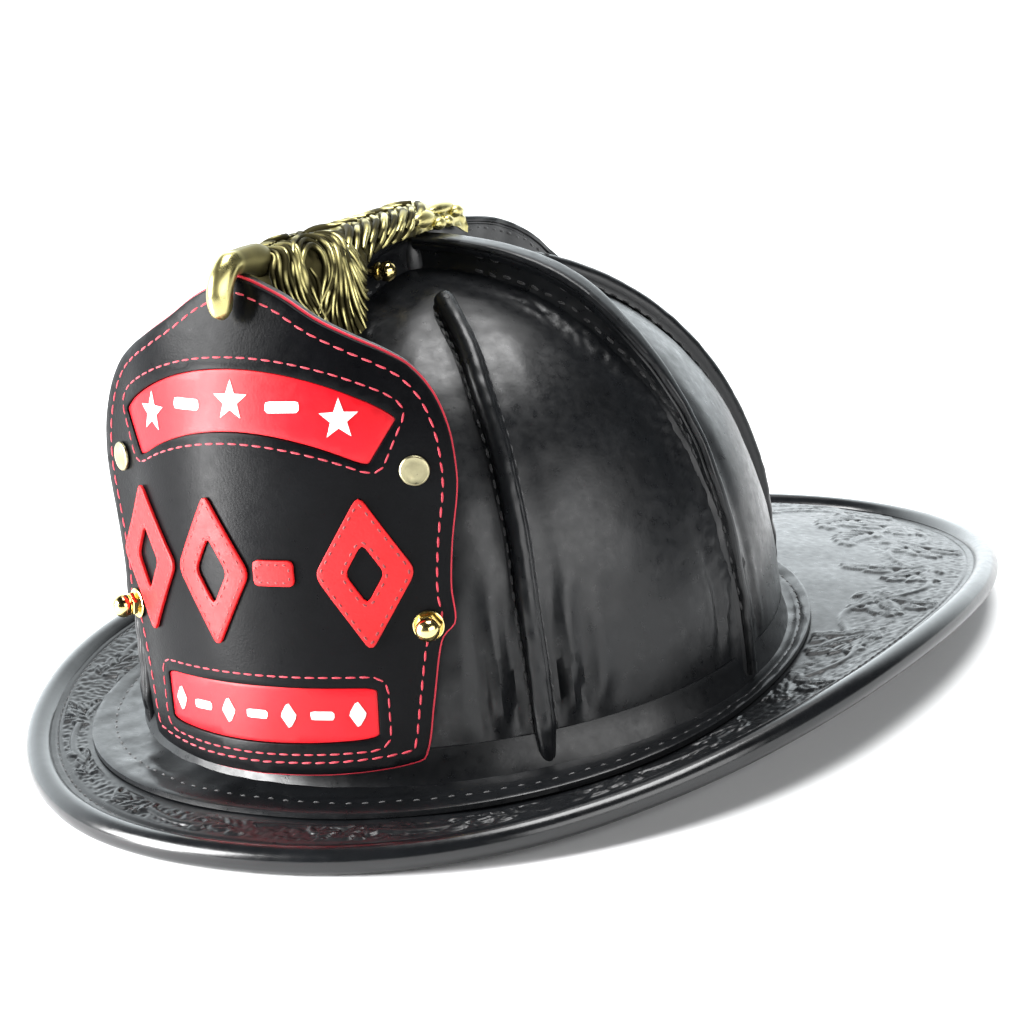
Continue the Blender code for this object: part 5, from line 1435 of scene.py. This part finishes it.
def make_liner():
    """The hard inner cap, its grooved foam and the ring that carries the straps."""
    piece("impact_cap", skin(dome_grid(IMPACT_OUTER, IMPACT_INNER, IMPACT_LOW, soft=0.5)),
          "impact_plastic", stands_for=["impact_shell"])

    def blocks(phi, share):
        spokes = np.abs((phi / TAU * 12 + 0.5) % 1 - 0.5) * 2
        depth = smooth(1 - spokes[None, :] * 9.5)
        for level in (0.36, 0.72):
            depth = np.maximum(depth, smooth(1 - np.abs(share - level) / 0.035))
        place = joined(40 * np.cos(phi), 40 * np.sin(phi), 60 * share)
        return 3.0 * depth * smooth((0.93 - share) / 0.05) + 0.25 * ripples(place, 9.0, 71)

    foam = skin(dome_grid(FOAM_OUTER, FOAM_INNER, FOAM_LOW, blocks, 64, 384))
    piece("foam_blocks", foam, "foam", stands_for=["foam_liner"])

    phi = turns(288)
    tabs = 0.5 - 0.5 * np.cos(6 * phi)
    reach = 18.6 + 3.3 * tabs ** 0.6
    rows = []
    for across, share in ((0.0, 0.5), (0.02, 0.85), (0.06, 1.0), (0.14, 1.0), (0.2, 0.72), (0.8, 0.72),
                          (0.9, 1.0), (0.97, 1.0), (1.0, 0.75), (1.0, 0.2), (0.97, 0.0), (0.5, 0.0),
                          (0.06, 0.0), (0.0, 0.2)):
        z = lerp(RING_LOW, RING_HIGH, share)
        rows.append(crown_wall(phi, z + 0 * phi, lerp(RING_OUTER, reach, across)))
    piece("suspension_rim", skin(np.swapaxes(np.array(rows), 0, 1), closed_rows=True), "black_plastic",
          stands_for=["suspension_ring"])


def strap_path(degrees, top, steps=73):
    """The outer face of a crown strap, from one foot over the head to the other."""
    phi = math.radians(degrees)
    ends = [crown_wall(np.array(phi + turn), STRAP_FOOT_Z, STRAP_FOOT_INSET) for turn in (0, math.pi)]
    middle = np.array([0, CROWN_APEX_Y, 0])
    line = []
    for swing in np.linspace(0, math.pi, steps):
        end = ends[0] if swing <= math.pi / 2 else ends[1]
        place = lerp(middle, end * [1, 1, 0], abs(math.cos(swing)))
        line.append(place + Z * (STRAP_FOOT_Z + (top - STRAP_FOOT_Z) * math.sin(swing)))
    across = unit(np.cross(ends[1] - ends[0], Z))
    return np.array(line), across


def ribbon(line, across, outward, half_width, thick):
    """Webbing: a flat band with rounded, slightly fuller edges and shallow lengthwise ribs."""
    t = np.concatenate([np.linspace(-1, 1, 19), np.linspace(1, -1, 19)])
    face = np.concatenate([np.ones(19), np.zeros(19)])
    full = 1 + 0.12 * (np.abs(t) > 0.86) - 0.10 * (np.arange(38) % 2)
    rise = thick * ((face - 0.5) * full * np.sqrt(np.maximum(1 - np.abs(t) ** 14, 0.04)) - 0.5)
    grid = line[:, None] + across[:, None] * (t * half_width)[:, None] + outward[:, None] * rise[:, None]
    return skin(grid)


def make_crown_straps():
    """Three straps that cross over the head, each doubled and sewn in a boxed cross at both feet."""
    for i, (word, degrees) in enumerate(CROWN_STRAPS):
        line, across = strap_path(degrees, STRAP_CROWN_Z + CROWN_STRAP_STACK * i)
        line = respace(line, count=90)
        across = np.broadcast_to(across, line.shape)
        outward = unit(np.cross(across, np.gradient(line, axis=0)))
        outward = outward * np.sign(outward[45, 2])
        bands = [ribbon(line, across, outward, CROWN_STRAP_HALF_WIDTH, 1.3)]
        for part in (slice(0, 12), slice(-12, None)):
            bands.append(ribbon(line[part] - outward[part] * 1.2, across[part], outward[part],
                                CROWN_STRAP_HALF_WIDTH - 0.8, 1.1))
        piece(f"crown_webbing_{word}", merged(bands), "webbing", stands_for=[f"crown_strap_{word}"])
        seams = []
        for part in (slice(1, 11), slice(-11, -1)):
            run, out = line[part] - outward[part] * 2.3, -outward[part]
            lean = np.linspace(-6.2, 6.2, len(run))[:, None]
            for offset in (-6.2, 6.2, lean, -lean):
                seams.append(stitches(run + across[part] * offset, out, pitch=2.6, share=0.6,
                                      thick=0.55, bury=0.1))
        piece(f"crown_webbing_{word}_stitching", merged(seams), "black_thread")


def make_crown_pad():
    """The round pad under the crown straps: crowned gores drawn in by a button, with piping."""
    low, high = box_mm("crown_pad")
    middle = (low + high) / 2
    radius = (high - low)[0] / 2
    angle = turns(128)
    gore = np.abs(np.sin(4 * angle)) ** 0.45
    rows = []
    for across in np.linspace(0.03, 0.94, 16):
        puff = math.sin(math.pi * min(1, across * 0.98 + 0.02)) ** 0.5
        level = low[2] + 2.6 - 2.2 * puff * (0.45 + 0.55 * gore)
        rows.append(level_ring(middle, radius * across, level, angle))
    for across, level in ((0.985, 3.0), (0.97, 3.9), (0.6, 5.6), (0.2, 6.4), (0.03, 6.5)):
        rows.append(level_ring(middle, radius * across, low[2] + level, angle))
    piece("crown_cushion", skin(np.array(rows)), "pad_leather", stands_for=["crown_pad"],
                    crease=70)
    ring = level_ring(middle, radius * 0.965, low[2] + 2.6, angle)
    button = turned(((AXIS, -0.4), (2.6, -0.3), (3.6, 0.3), (3.4, 1.2), (AXIS, 1.4)),
                    (middle[0], middle[1], low[2] + 2.4), -Z, 32)
    piece("crown_cushion_piping", merged([tube(ring, 1.1, 10, closed=True), button]), "pad_leather")


def head_line(grow):
    """The front band's line from above, from the wearer's left arm round the front to the right."""
    half = HEAD_HALF_WIDTH + grow
    arm_end = HEAD_Y + 50.0
    angle = np.radians(np.linspace(90, -90, 61))
    front = np.stack([half * np.sin(angle), HEAD_Y - (HEAD_FRONT_REACH + grow) * np.cos(angle)], axis=1)
    arm = np.array([[half, arm_end], [half, lerp(arm_end, HEAD_Y, 0.5)]])
    return respace(np.vstack([arm, front, (arm * [-1, 1])[::-1]]), step=2.0)


def nape_line(radius, arm_end=None, half_angle=90.0):
    """The rear band's line from above, from the wearer's left round the back to the right."""
    angle = np.radians(np.linspace(half_angle, -half_angle, 91))
    line = np.stack([radius * np.sin(angle), NAPE_Y + radius * np.cos(angle)], axis=1)
    if arm_end is not None:
        line = np.vstack([[[radius, arm_end]], line, [[-radius, arm_end]]])
    return respace(line, step=2.0)


def along_line(line, turn):
    """A function that stands a flat plate (u along, v up, out) on a line seen from above."""
    distance = travel(line)
    direction = unit(np.gradient(line, axis=0))
    normal = np.stack([direction[:, 1], -direction[:, 0]], axis=1) * turn

    def bend(u, v, out):
        x, y = (np.interp(u, distance, line[:, k]) + np.interp(u, distance, normal[:, k]) * out
                for k in (0, 1))
        return joined(x, y, v)
    return bend, distance[-1]


def band_plate(line, turn, low, high, thick, slots, spacing=4.0):
    """A plastic band on edge with rounded slots through it and a bead along each edge."""
    bend, length = along_line(line, turn)
    ends = 3.0
    outline = slab((length / 2, (low + high) / 2), length / 2 - 0.1, (high - low) / 2, ends)
    holes = [slab(centre, half_width, half_height, min(half_width, half_height) * 0.95)
             for centre, half_width, half_height in slots(length)]
    parts = [sheet_of(outline, holes, 0.15, thick - 0.15, bend, spacing, 0.25)]
    for level in (low + 1.2, high - 1.2):
        u = np.arange(4.0, length - 4.0, 2.0)
        parts.append(tube(bend(u, level, thick / 2), thick / 2 + 0.1, 8))
    return merged(parts)


def pad_on(line, turn, low, high, thick, seams_apart, seed):
    """A pad on a band: a full rounded section, drawn in by upright seams."""
    bend, length = along_line(line, turn)
    u = np.linspace(0, length, int(length / 1.6))
    angle = np.radians(np.linspace(-90, 90, 21))
    seam = np.abs((u / seams_apart) % 1 - 0.5) * 2
    pinch = 1 - 0.40 * np.exp(-((1 - seam) * seams_apart / 2 / 1.5) ** 2)
    end = np.sqrt(np.clip(np.minimum(u, length - u) / 5.0, 0.0, 1.0)) * 0.9 + 0.1
    rows = []
    for a in angle:
        rise = math.copysign(abs(math.sin(a)) ** 0.75, math.sin(a))
        v = (low + high) / 2 + (high - low) / 2 * rise * lerp(0.86, 1, end)
        plump = thick * (abs(math.cos(a)) ** 0.42) * pinch * end
        spot = bend(u, v, 0.0)
        rows.append(bend(u, v, plump + 0.16 * ripples(spot, 7.0, seed) * min(1.0, 2 * math.cos(a) ** 2)))
    rows += [bend(u, level, 0.0) for level in (high - 0.6, low + 0.6)]
    return skin(np.swapaxes(np.array(rows), 0, 1))


def make_headband():
    """The two bands, slotted along their length, and the sewn pads on them."""
    def front_slots(length):
        cut = [((u, 55.5), 5.0, 1.3) for u in np.arange(16, length - 12, 21.0)]
        return cut + [((u, 42.5), 5.0, 1.3) for u in np.arange(26.5, length - 20, 21.0)]

    def rear_slots(length):
        cut = [((u, 48.5), 3.0, 1.2) for u in np.arange(10, length * 0.27, 9.0)]
        return cut + [((length - u, v), width, height) for (u, v), width, height in cut]

    low, high = (corner[2] for corner in box_mm("headband_front"))
    front = band_plate(head_line(0.0), -1, low, high, BAND_THICKNESS, front_slots)
    piece("headband_front_band", front, "black_plastic", stands_for=["headband_front"])
    low, high = (corner[2] for corner in box_mm("headband_rear"))
    rear = nape_line(NAPE_RADIUS - BAND_THICKNESS, NAPE_Y - 14.0)
    rear = band_plate(rear, -1, low, high, BAND_THICKNESS, rear_slots)
    piece("headband_rear_band", rear, "black_plastic", body="nape_band", stands_for=["headband_rear"])

    brow = head_line(-0.5)
    keep_from = int(np.argmax(brow[:, 1] < -101.5))
    brow = brow[keep_from:len(brow) - keep_from]
    piece("brow_cushion", pad_on(brow, 1, BROW_LOW, BROW_HIGH, 4.0, 21.0, 81), "pad_leather",
                    stands_for=["brow_pad"], crease=75)
    nape = nape_line(77.3, None, 44.0)
    piece("nape_cushion", pad_on(nape, 1, NAPE_LOW, NAPE_HIGH, 3.9, 19.0, 82), "pad_leather",
                    body="nape_band", stands_for=["nape_pad"], crease=75)
    for name, base, low, high, body in (("brow", brow, BROW_LOW, BROW_HIGH, "shell"),
                                        ("nape", nape, NAPE_LOW, NAPE_HIGH, "nape_band")):
        bend, length = along_line(base, 1)
        u = np.arange(4.0, length - 4.0, 1.5)
        rows = []
        for level in (low + 2.4, high - 2.4):
            on = bend(u, level, 3.0)
            rows.append(stitches(on, bend(u, level, 4.0) - on, pitch=3.2, share=0.6, thick=0.6, bury=0.1))
        piece(f"{name}_cushion_stitching", merged(rows), "black_thread", body=body)


# radius, distance behind the nape's centre, and how deep the grip's ribs are there
KNOB_PROFILE = ((0.4, 86.5, 0), (15.2, 86.5, 0), (15.75, 86.9, 0), (15.9, 87.6, 0.4), (15.9, 88.6, 1),
                (15.9, 92.2, 1), (15.6, 93.2, 1), (14.9, 94.0, 0.6), (14.1, 94.3, 0), (13.0, 94.1, 0),
                (11.8, 93.3, 0), (9.2, 93.0, 0), (8.2, 93.4, 0), (6.4, 94.5, 0), (0.4, 94.6, 0))


def make_ratchet():
    """The size adjuster at the nape: housing, racks, pinion and ribbed knob."""
    def bend(u, v, out):
        turn, radius = u / RATCHET_FLAT_RADIUS, RATCHET_RADIUS + out
        return joined(radius * np.sin(turn), NAPE_Y + radius * np.cos(turn), v)

    plate = slab((0, KNOB_Z), 31.0, 14.0, 5.0)
    shaft_hole = level_ring((0, KNOB_Z), 3.4, 0.0, turns(24))[:, :2]
    parts = [sheet_of(plate, [shaft_hole], 4.45, 6.0, bend, 3.0, 0.5)]
    u = np.linspace(-25.5, 25.5, 30)
    section = ((-1.0, 0.2), (-1.0, 4.6), (1.0, 4.6), (1.0, 0.2), (0.6, 0.0), (-0.6, 0.0))
    for level in (34.6, 60.4):
        parts.append(skin(np.stack([bend(u, level + rise, out) for rise, out in section], axis=1)))
    for inset in (2.6, 4.6):
        loop = closed_line(shrunk(plate, inset), 1.5)
        parts.append(tube(bend(loop[:, 0], loop[:, 1], 5.85), 0.35, 6, closed=True, up=(0, 1, 0.1)))
    piece("ratchet_case", merged(parts), "black_plastic", body="nape_band", stands_for=["ratchet_housing"])
    for node in ("rack_left", "rack_right", "ratchet_pinion"):
        keep(node, "black_plastic")

    angle = turns(192)
    grip = 0.55 * (0.5 + 0.5 * np.cos(24 * angle)) ** 1.5
    rows = []
    for radius, depth, ribbed in KNOB_PROFILE:
        reach = radius - grip * ribbed
        rows.append(joined(reach * np.sin(angle), NAPE_Y + depth, KNOB_Z + reach * np.cos(angle)))
    piece("ratchet_knob_ribbed", skin(np.array(rows)), "black_plastic", body="ratchet_knob",
          stands_for=["ratchet_knob"], crease=50)


def make_ear_flap():
    """The ear and neck protector: one cloth, folded twice and tucked up behind the rear band."""
    # inset from the crown and height along the fold
    section = [(5.55, 60.6), (5.55, 28.6), (5.62, 27.9), (5.98, 27.55), (6.34, 27.9), (6.40, 28.6),
               (6.40, 59.6), (6.47, 60.3), (6.82, 60.6), (7.18, 60.3), (7.25, 59.6), (7.25, 28.4)]
    section = respace(np.array(section), step=1.2)
    direction = unit(np.gradient(section, axis=0))
    normal = np.stack([-direction[:, 1], direction[:, 0]], axis=1) * 0.28
    loop = np.vstack([section + normal, (section - normal)[::-1]])
    phi = np.radians(np.linspace(FLAP_FROM, FLAP_TO, 150))
    sway = 0.10 * np.sin(phi * 31 + 0.5) + 0.06 * np.sin(phi * 77)
    inset, z = loop.T
    inset = inset + sway[:, None] * np.minimum(1.0, (61 - z) / 12)
    grid = crown_wall(phi[:, None], FLAP_LEVEL, inset)
    grid[..., 2] = z
    cloth = piece("ear_neck_cloth", skin(grid), "flap_cloth", body="ear_flap", stands_for=["ear_neck_flap"])
    arc = travel(crown_wall(phi, FLAP_LEVEL, 6.4))[-1]
    float(travel(section)[-1]) * MM
    rows = []
    for inset, level in ((7.55, 30.5), (7.55, 58.0)):
        line = crown_wall(phi, FLAP_LEVEL, inset)
        line[:, 2] = level
        inward = unit(crown_wall(phi, FLAP_LEVEL, inset + 2) - crown_wall(phi, FLAP_LEVEL, inset))
        rows.append(stitches(line[3:-3], inward[3:-3], pitch=3.0, share=0.6, thick=0.5, bury=0.3))
    piece("ear_neck_cloth_stitching", merged(rows), "black_thread", body="ear_flap")


STRAP_X, STRAP_LOOP_DEPTH = 82.0, 44.0
STRAP_PIVOT, STRAP_BEND = (-29.85, 24.0), (-99.85, 11.5)        # (y, z)
BUCKLE_Y, BUCKLE_REAR_Y, SLIDE_Y = -53.0, -35.15, -70.0


def strap_arm(y):
    """The height of the chin strap's middle."""
    (y0, z0), (y1, z1) = STRAP_PIVOT, STRAP_BEND
    return lerp(z0, z1, (np.maximum(y, y1) - y0) / (y1 - y0))


def strap_webbing(line):
    """Chin webbing on edge along a line seen from above."""
    line = respace(np.array(line, float), step=1.6)
    middle = np.stack([line[:, 0], line[:, 1], strap_arm(line[:, 1])], axis=1)
    outward = unit(np.cross(np.gradient(middle * [1, 1, 0], axis=0), Z))
    up = np.broadcast_to(Z, middle.shape)
    return ribbon(middle + outward * 0.8, up, outward, 7.5, 1.6)


def make_chin_strap():
    """The short left strap, the long right one that loops round the front, and their studs."""
    end_y = STRAP_PIVOT[0] + 7.4
    left = strap_webbing([(STRAP_X, end_y), (STRAP_X, STRAP_PIVOT[0] - 7.0)])
    piece("chin_webbing_left", left, "webbing", body="chin_strap", stands_for=["chin_strap_left"])
    angle = np.radians(np.linspace(90, -90, 61))
    front = np.stack([STRAP_X * np.sin(angle), STRAP_BEND[0] - STRAP_LOOP_DEPTH * np.cos(angle)], axis=1)
    line = np.vstack([[[STRAP_X, BUCKLE_Y + 3.0]], front, [[-STRAP_X, end_y]]])
    piece("chin_webbing_right", strap_webbing(line), "webbing", body="chin_strap",
          stands_for=["chin_strap_right"])
    for side, word in ((1, "left"), (-1, "right")):
        low, high = box_mm(f"strap_stud_{word}")
        inner, outer = (low[0], high[0]) if side > 0 else (high[0], low[0])
        reach = abs(outer - inner)
        profile = ((AXIS, 0.0), (2.2, 0.05), (3.6, 0.5), (4.2, 1.1), (4.2, 1.4), (2.4, 1.4),
                   (2.4, reach - 1.6), (6.5, reach - 1.6), (6.5, reach - 0.5), (6.0, reach), (AXIS, reach))
        piece(f"strap_stud_turned_{word}", turned(profile, (inner, *STRAP_PIVOT), X * side), "steel",
              stands_for=[f"strap_stud_{word}"])
    make_buckle()
    make_slide()


def block_on_arm(at_y, stations, x=STRAP_X, sides=40, square=0.32, closed=False):
    """A moulded block along the strap's arm, from (distance, half thickness, half height) stations."""
    angle = turns(sides)
    across, tall = power(np.cos(angle), square), power(np.sin(angle), square)
    grid = []
    for distance, thick, height in stations:
        y = at_y + distance
        grid.append(joined(x + across * thick, y, strap_arm(y) + tall * height))
    return skin(np.array(grid), closed_rows=closed)


def make_buckle():
    """The side-release buckle: a ribbed socket, and a plug with a tongue and two prongs."""
    length = BUCKLE_REAR_Y - BUCKLE_Y
    socket = [block_on_arm(BUCKLE_Y, ((0, 0.6, 8.0), (0, 2.9, 11.0), (0.7, 3.35, 11.5), (4, 3.4, 11.6),
                                      (6, 3.4, 10.1), (11, 3.4, 10.1), (13, 3.4, 11.6),
                                      (length - 1, 3.3, 11.3), (length - 0.2, 2.8, 10.7),
                                      (length, 0.6, 8.0)))]
    for rib_y in (BUCKLE_Y + 13.2, BUCKLE_Y + 15.2):
        socket.append(block_on_arm(rib_y, ((0, 0.3, 3), (0.2, 3.75, 6.5), (1.0, 3.75, 6.5), (1.2, 0.3, 3))))
    piece("buckle_socket", merged(socket), "black_plastic", body="chin_strap",
          stands_for=["buckle_female"])

    root = BUCKLE_Y - 0.4
    plug = [block_on_arm(root, ((0, 0.6, 8.0), (0, 2.9, 11.0), (-0.7, 3.35, 11.5), (-6, 3.4, 11.6),
                                (-9, 3.1, 9.6), (-14.2, 3.1, 9.4), (-15.2, 2.7, 9.0), (-15.6, 0.6, 7.0)))]
    plug.append(tube([(STRAP_X, root + 0.5, strap_arm(root)),
                      (STRAP_X, root + 12.0, strap_arm(root + 12.0))], (1.5, 1.1), 12))
    for way in (1, -1):
        prong = [(STRAP_X, root + 0.5, strap_arm(root) + way * 7.2)]
        for distance, spread in ((6, 7.9), (10, 8.4), (12.6, 6.4)):
            prong.append((STRAP_X, root + distance, strap_arm(root + distance) + way * spread))
        plug.append(tube(prong, (1.3, 1.2, 1.4, 0.8), 12))
    piece("buckle_plug", merged(plug), "black_plastic", body="buckle_male", stands_for=["buckle_male"])


def make_slide():
    """The steel slide that takes up the strap's length."""
    stations = ((-5.0, 1.9, 9.9), (-4.6, 2.35, 10.35), (4.6, 2.35, 10.35), (5.0, 1.9, 9.9), (4.8, 1.2, 8.1),
                (-4.8, 1.2, 8.1))
    piece("slide_plate", block_on_arm(SLIDE_Y, stations, -STRAP_X, 48, 0.35, closed=True), "steel",
          body="postman_slide", stands_for=["postman_slide"])


HANGER_Y, HANGER_Z = 81.0, 21.4


def make_hanger():
    """The steel hanging ring under the tail, and its bracket."""
    line = [(x, 0.0) for x in (-9.5, -6.0, -2.0, 2.0, 6.0, 9.5)]
    for angle in np.radians(np.linspace(20, -200, 23)):
        line.append((10.3 * math.cos(angle), -6.5 + 10.3 * math.sin(angle)))
    line = closed_line(line, 1.2)
    points = joined(line[:, 0], HANGER_Y, HANGER_Z + line[:, 1])
    for _ in range(2):
        points = (np.roll(points, 1, axis=0) + 2 * points + np.roll(points, -1, axis=0)) / 4
    piece("hanging_ring_wire", tube(points, 1.58, 16, closed=True, up=(0, 1, 0)), "steel",
          body="hanger_ring", stands_for=["hanger_ring"])
    outline = [(-3.9, 2.3), (-3.6, -1.4), (-2.6, -2.8), (-1.0, -3.35), (1.0, -3.35), (2.6, -2.8),
               (3.6, -1.4), (3.9, 2.3), (2.5, 2.6), (-2.5, 2.6)]
    curve = spline(np.array(outline), 60, closed=True)
    grid = [joined(x, HANGER_Y + curve[:, 0] * f, HANGER_Z + curve[:, 1] * f)
            for x, f in ((-5.4, 0.93), (-5.9, 0.98), (-5.9, 0.98), (5.9, 0.98), (5.4, 0.93))]
    piece("hanging_bracket_cover", skin(np.array(grid)), "steel", stands_for=["hanger_bracket"], crease=30)


def keep_hidden_metal():
    """The wire in the brim's edge, and the stays and studs behind the shield."""
    keep("brim_wire", "steel")
    for word in ("left", "right"):
        keep(f"shield_stay_{word}", "steel")
        keep(f"shield_stud_{word}", "steel")


# ---- floor, light and camera --------------------------------------------------------------------


def make_floor():
    """The pale studio floor."""
    material, tree, shader = blank("floor", Specular_IOR_Level=0.2)
    place = add(tree, "TexCoord").outputs["Object"]
    faint = noise(tree, place, 400.0, 2.0)
    tree.links.new(ramp(tree, faint, [(0.3, (0.88, 0.885, 0.89)), (0.7, (0.91, 0.915, 0.92))]),
                   shader.inputs["Base Color"])
    tree.links.new(ranged(tree, faint, 0.6, 0.7), shader.inputs["Roughness"])
    size = 14.0
    mesh = bpy.data.meshes.new("studio_floor")
    corners = [(-size, -size, 0), (size, -size, 0), (size, size, 0), (-size, size, 0)]
    mesh.from_pydata(corners, [], [(0, 1, 2, 3)])
    mesh.materials.append(material)
    placed("studio_floor", mesh)


def bearing(azimuth, elevation):
    """A direction: azimuth from the front towards the wearer's left, and elevation, in degrees."""
    a, e = math.radians(azimuth), math.radians(elevation)
    return Vector((math.sin(a) * math.cos(e), -math.cos(a) * math.cos(e), math.sin(e)))


def soft_box(name, azimuth, elevation, distance, width, height, radiance, aim=(0, -60, 90)):
    """An area light that faces the helmet; its power follows from its size and brightness."""
    light = bpy.data.lights.new(name, "AREA")
    light.shape = "RECTANGLE"
    light.size, light.size_y = width * MM, height * MM
    light.energy = radiance * math.pi * light.size * light.size_y
    light.use_shadow = True
    made = placed(name, light)
    way = bearing(azimuth, elevation)
    made.location = Vector(aim) * MM + way * distance * MM
    made.rotation_euler = way.to_track_quat("Z", "Y").to_euler()


def make_light():
    """A sky that glows behind the helmet as the camera sees it, a weak sun and four soft boxes."""
    world = bpy.data.worlds.new("studio")
    world.use_nodes = True
    tree = world.node_tree
    surround = tree.nodes["Background"]
    way = add(tree, "TexCoord").outputs["Generated"]
    far = add(tree, "VectorMath", {0: way, 1: -bearing(CAMERA_AZIMUTH + 8, 0)},
              operation="DOT_PRODUCT").outputs["Value"]
    height = add(tree, "SeparateXYZ", {"Vector": way}).outputs["Z"]
    glow = ranged(tree, far, 0.03, 3.2, 0.30, 0.85, interpolation_type="SMOOTHSTEP")
    fall = ranged(tree, height, 1.0, 0.04, 0.50, 0.72, interpolation_type="SMOOTHSTEP")
    level = add(tree, "Math", {0: glow, 1: fall}, operation="MULTIPLY").outputs["Value"]
    tree.links.new(level, surround.inputs["Strength"])
    surround.inputs["Color"].default_value = (0.90, 0.97, 1.0, 1)
    bpy.context.scene.world = world

    sun = bpy.data.lights.new("overhead_glow", "SUN")
    sun.energy, sun.angle = 0.5, math.radians(40)
    made = placed("overhead_glow", sun)
    made.rotation_euler = bearing(CAMERA_AZIMUTH + 165, 62).to_track_quat("Z", "Y").to_euler()
    soft_box("top_box", 130, 78, 3000, width=1500, height=1500, radiance=15.0)
    soft_box("right_box", 74, 17, 3000, width=3000, height=1500, radiance=5.0)
    soft_box("left_box", -50, 21, 3000, width=1900, height=1500, radiance=30.0)
    soft_box("shield_strip", -46, -4, 300, width=90, height=150, radiance=40.0, aim=(-15, -175, 100))


def make_camera():
    """The camera, turned about its own axis by its roll."""
    azimuth, roll = math.radians(CAMERA_AZIMUTH), math.radians(CAMERA_ROLL)
    back = bearing(CAMERA_AZIMUTH, CAMERA_ELEVATION)
    right = Vector((math.cos(azimuth), math.sin(azimuth), 0))
    up = back.cross(right)
    level = right * math.cos(roll) + up * math.sin(roll)
    lifted = up * math.cos(roll) - right * math.sin(roll)
    camera = bpy.data.cameras.new("camera")
    camera.lens, camera.sensor_width = CAMERA_LENS, 36.0
    camera.clip_start, camera.clip_end = 0.01, 100.0
    made = placed("camera", camera)
    turn = Matrix((level, lifted, back)).transposed().to_4x4()
    made.matrix_world = Matrix.Translation(Vector(CAMERA_PLACE) * MM) @ turn
    bpy.context.scene.camera = made
    bpy.context.scene.view_settings.view_transform = "Standard"


make_crown()
make_brim()
make_edge_roll()
make_welt()
for comb in COMBS:
    make_comb(*comb)
for rib in RIBS:
    make_rib(*rib)
make_saddle()
make_shield()
make_shield_hardware()
make_eagle()
make_beak()
make_finial_screw()
make_liner()
make_crown_straps()
make_crown_pad()
make_headband()
make_ratchet()
make_ear_flap()
make_chin_strap()
make_hanger()
keep_hidden_metal()
make_floor()
make_light()
make_camera()
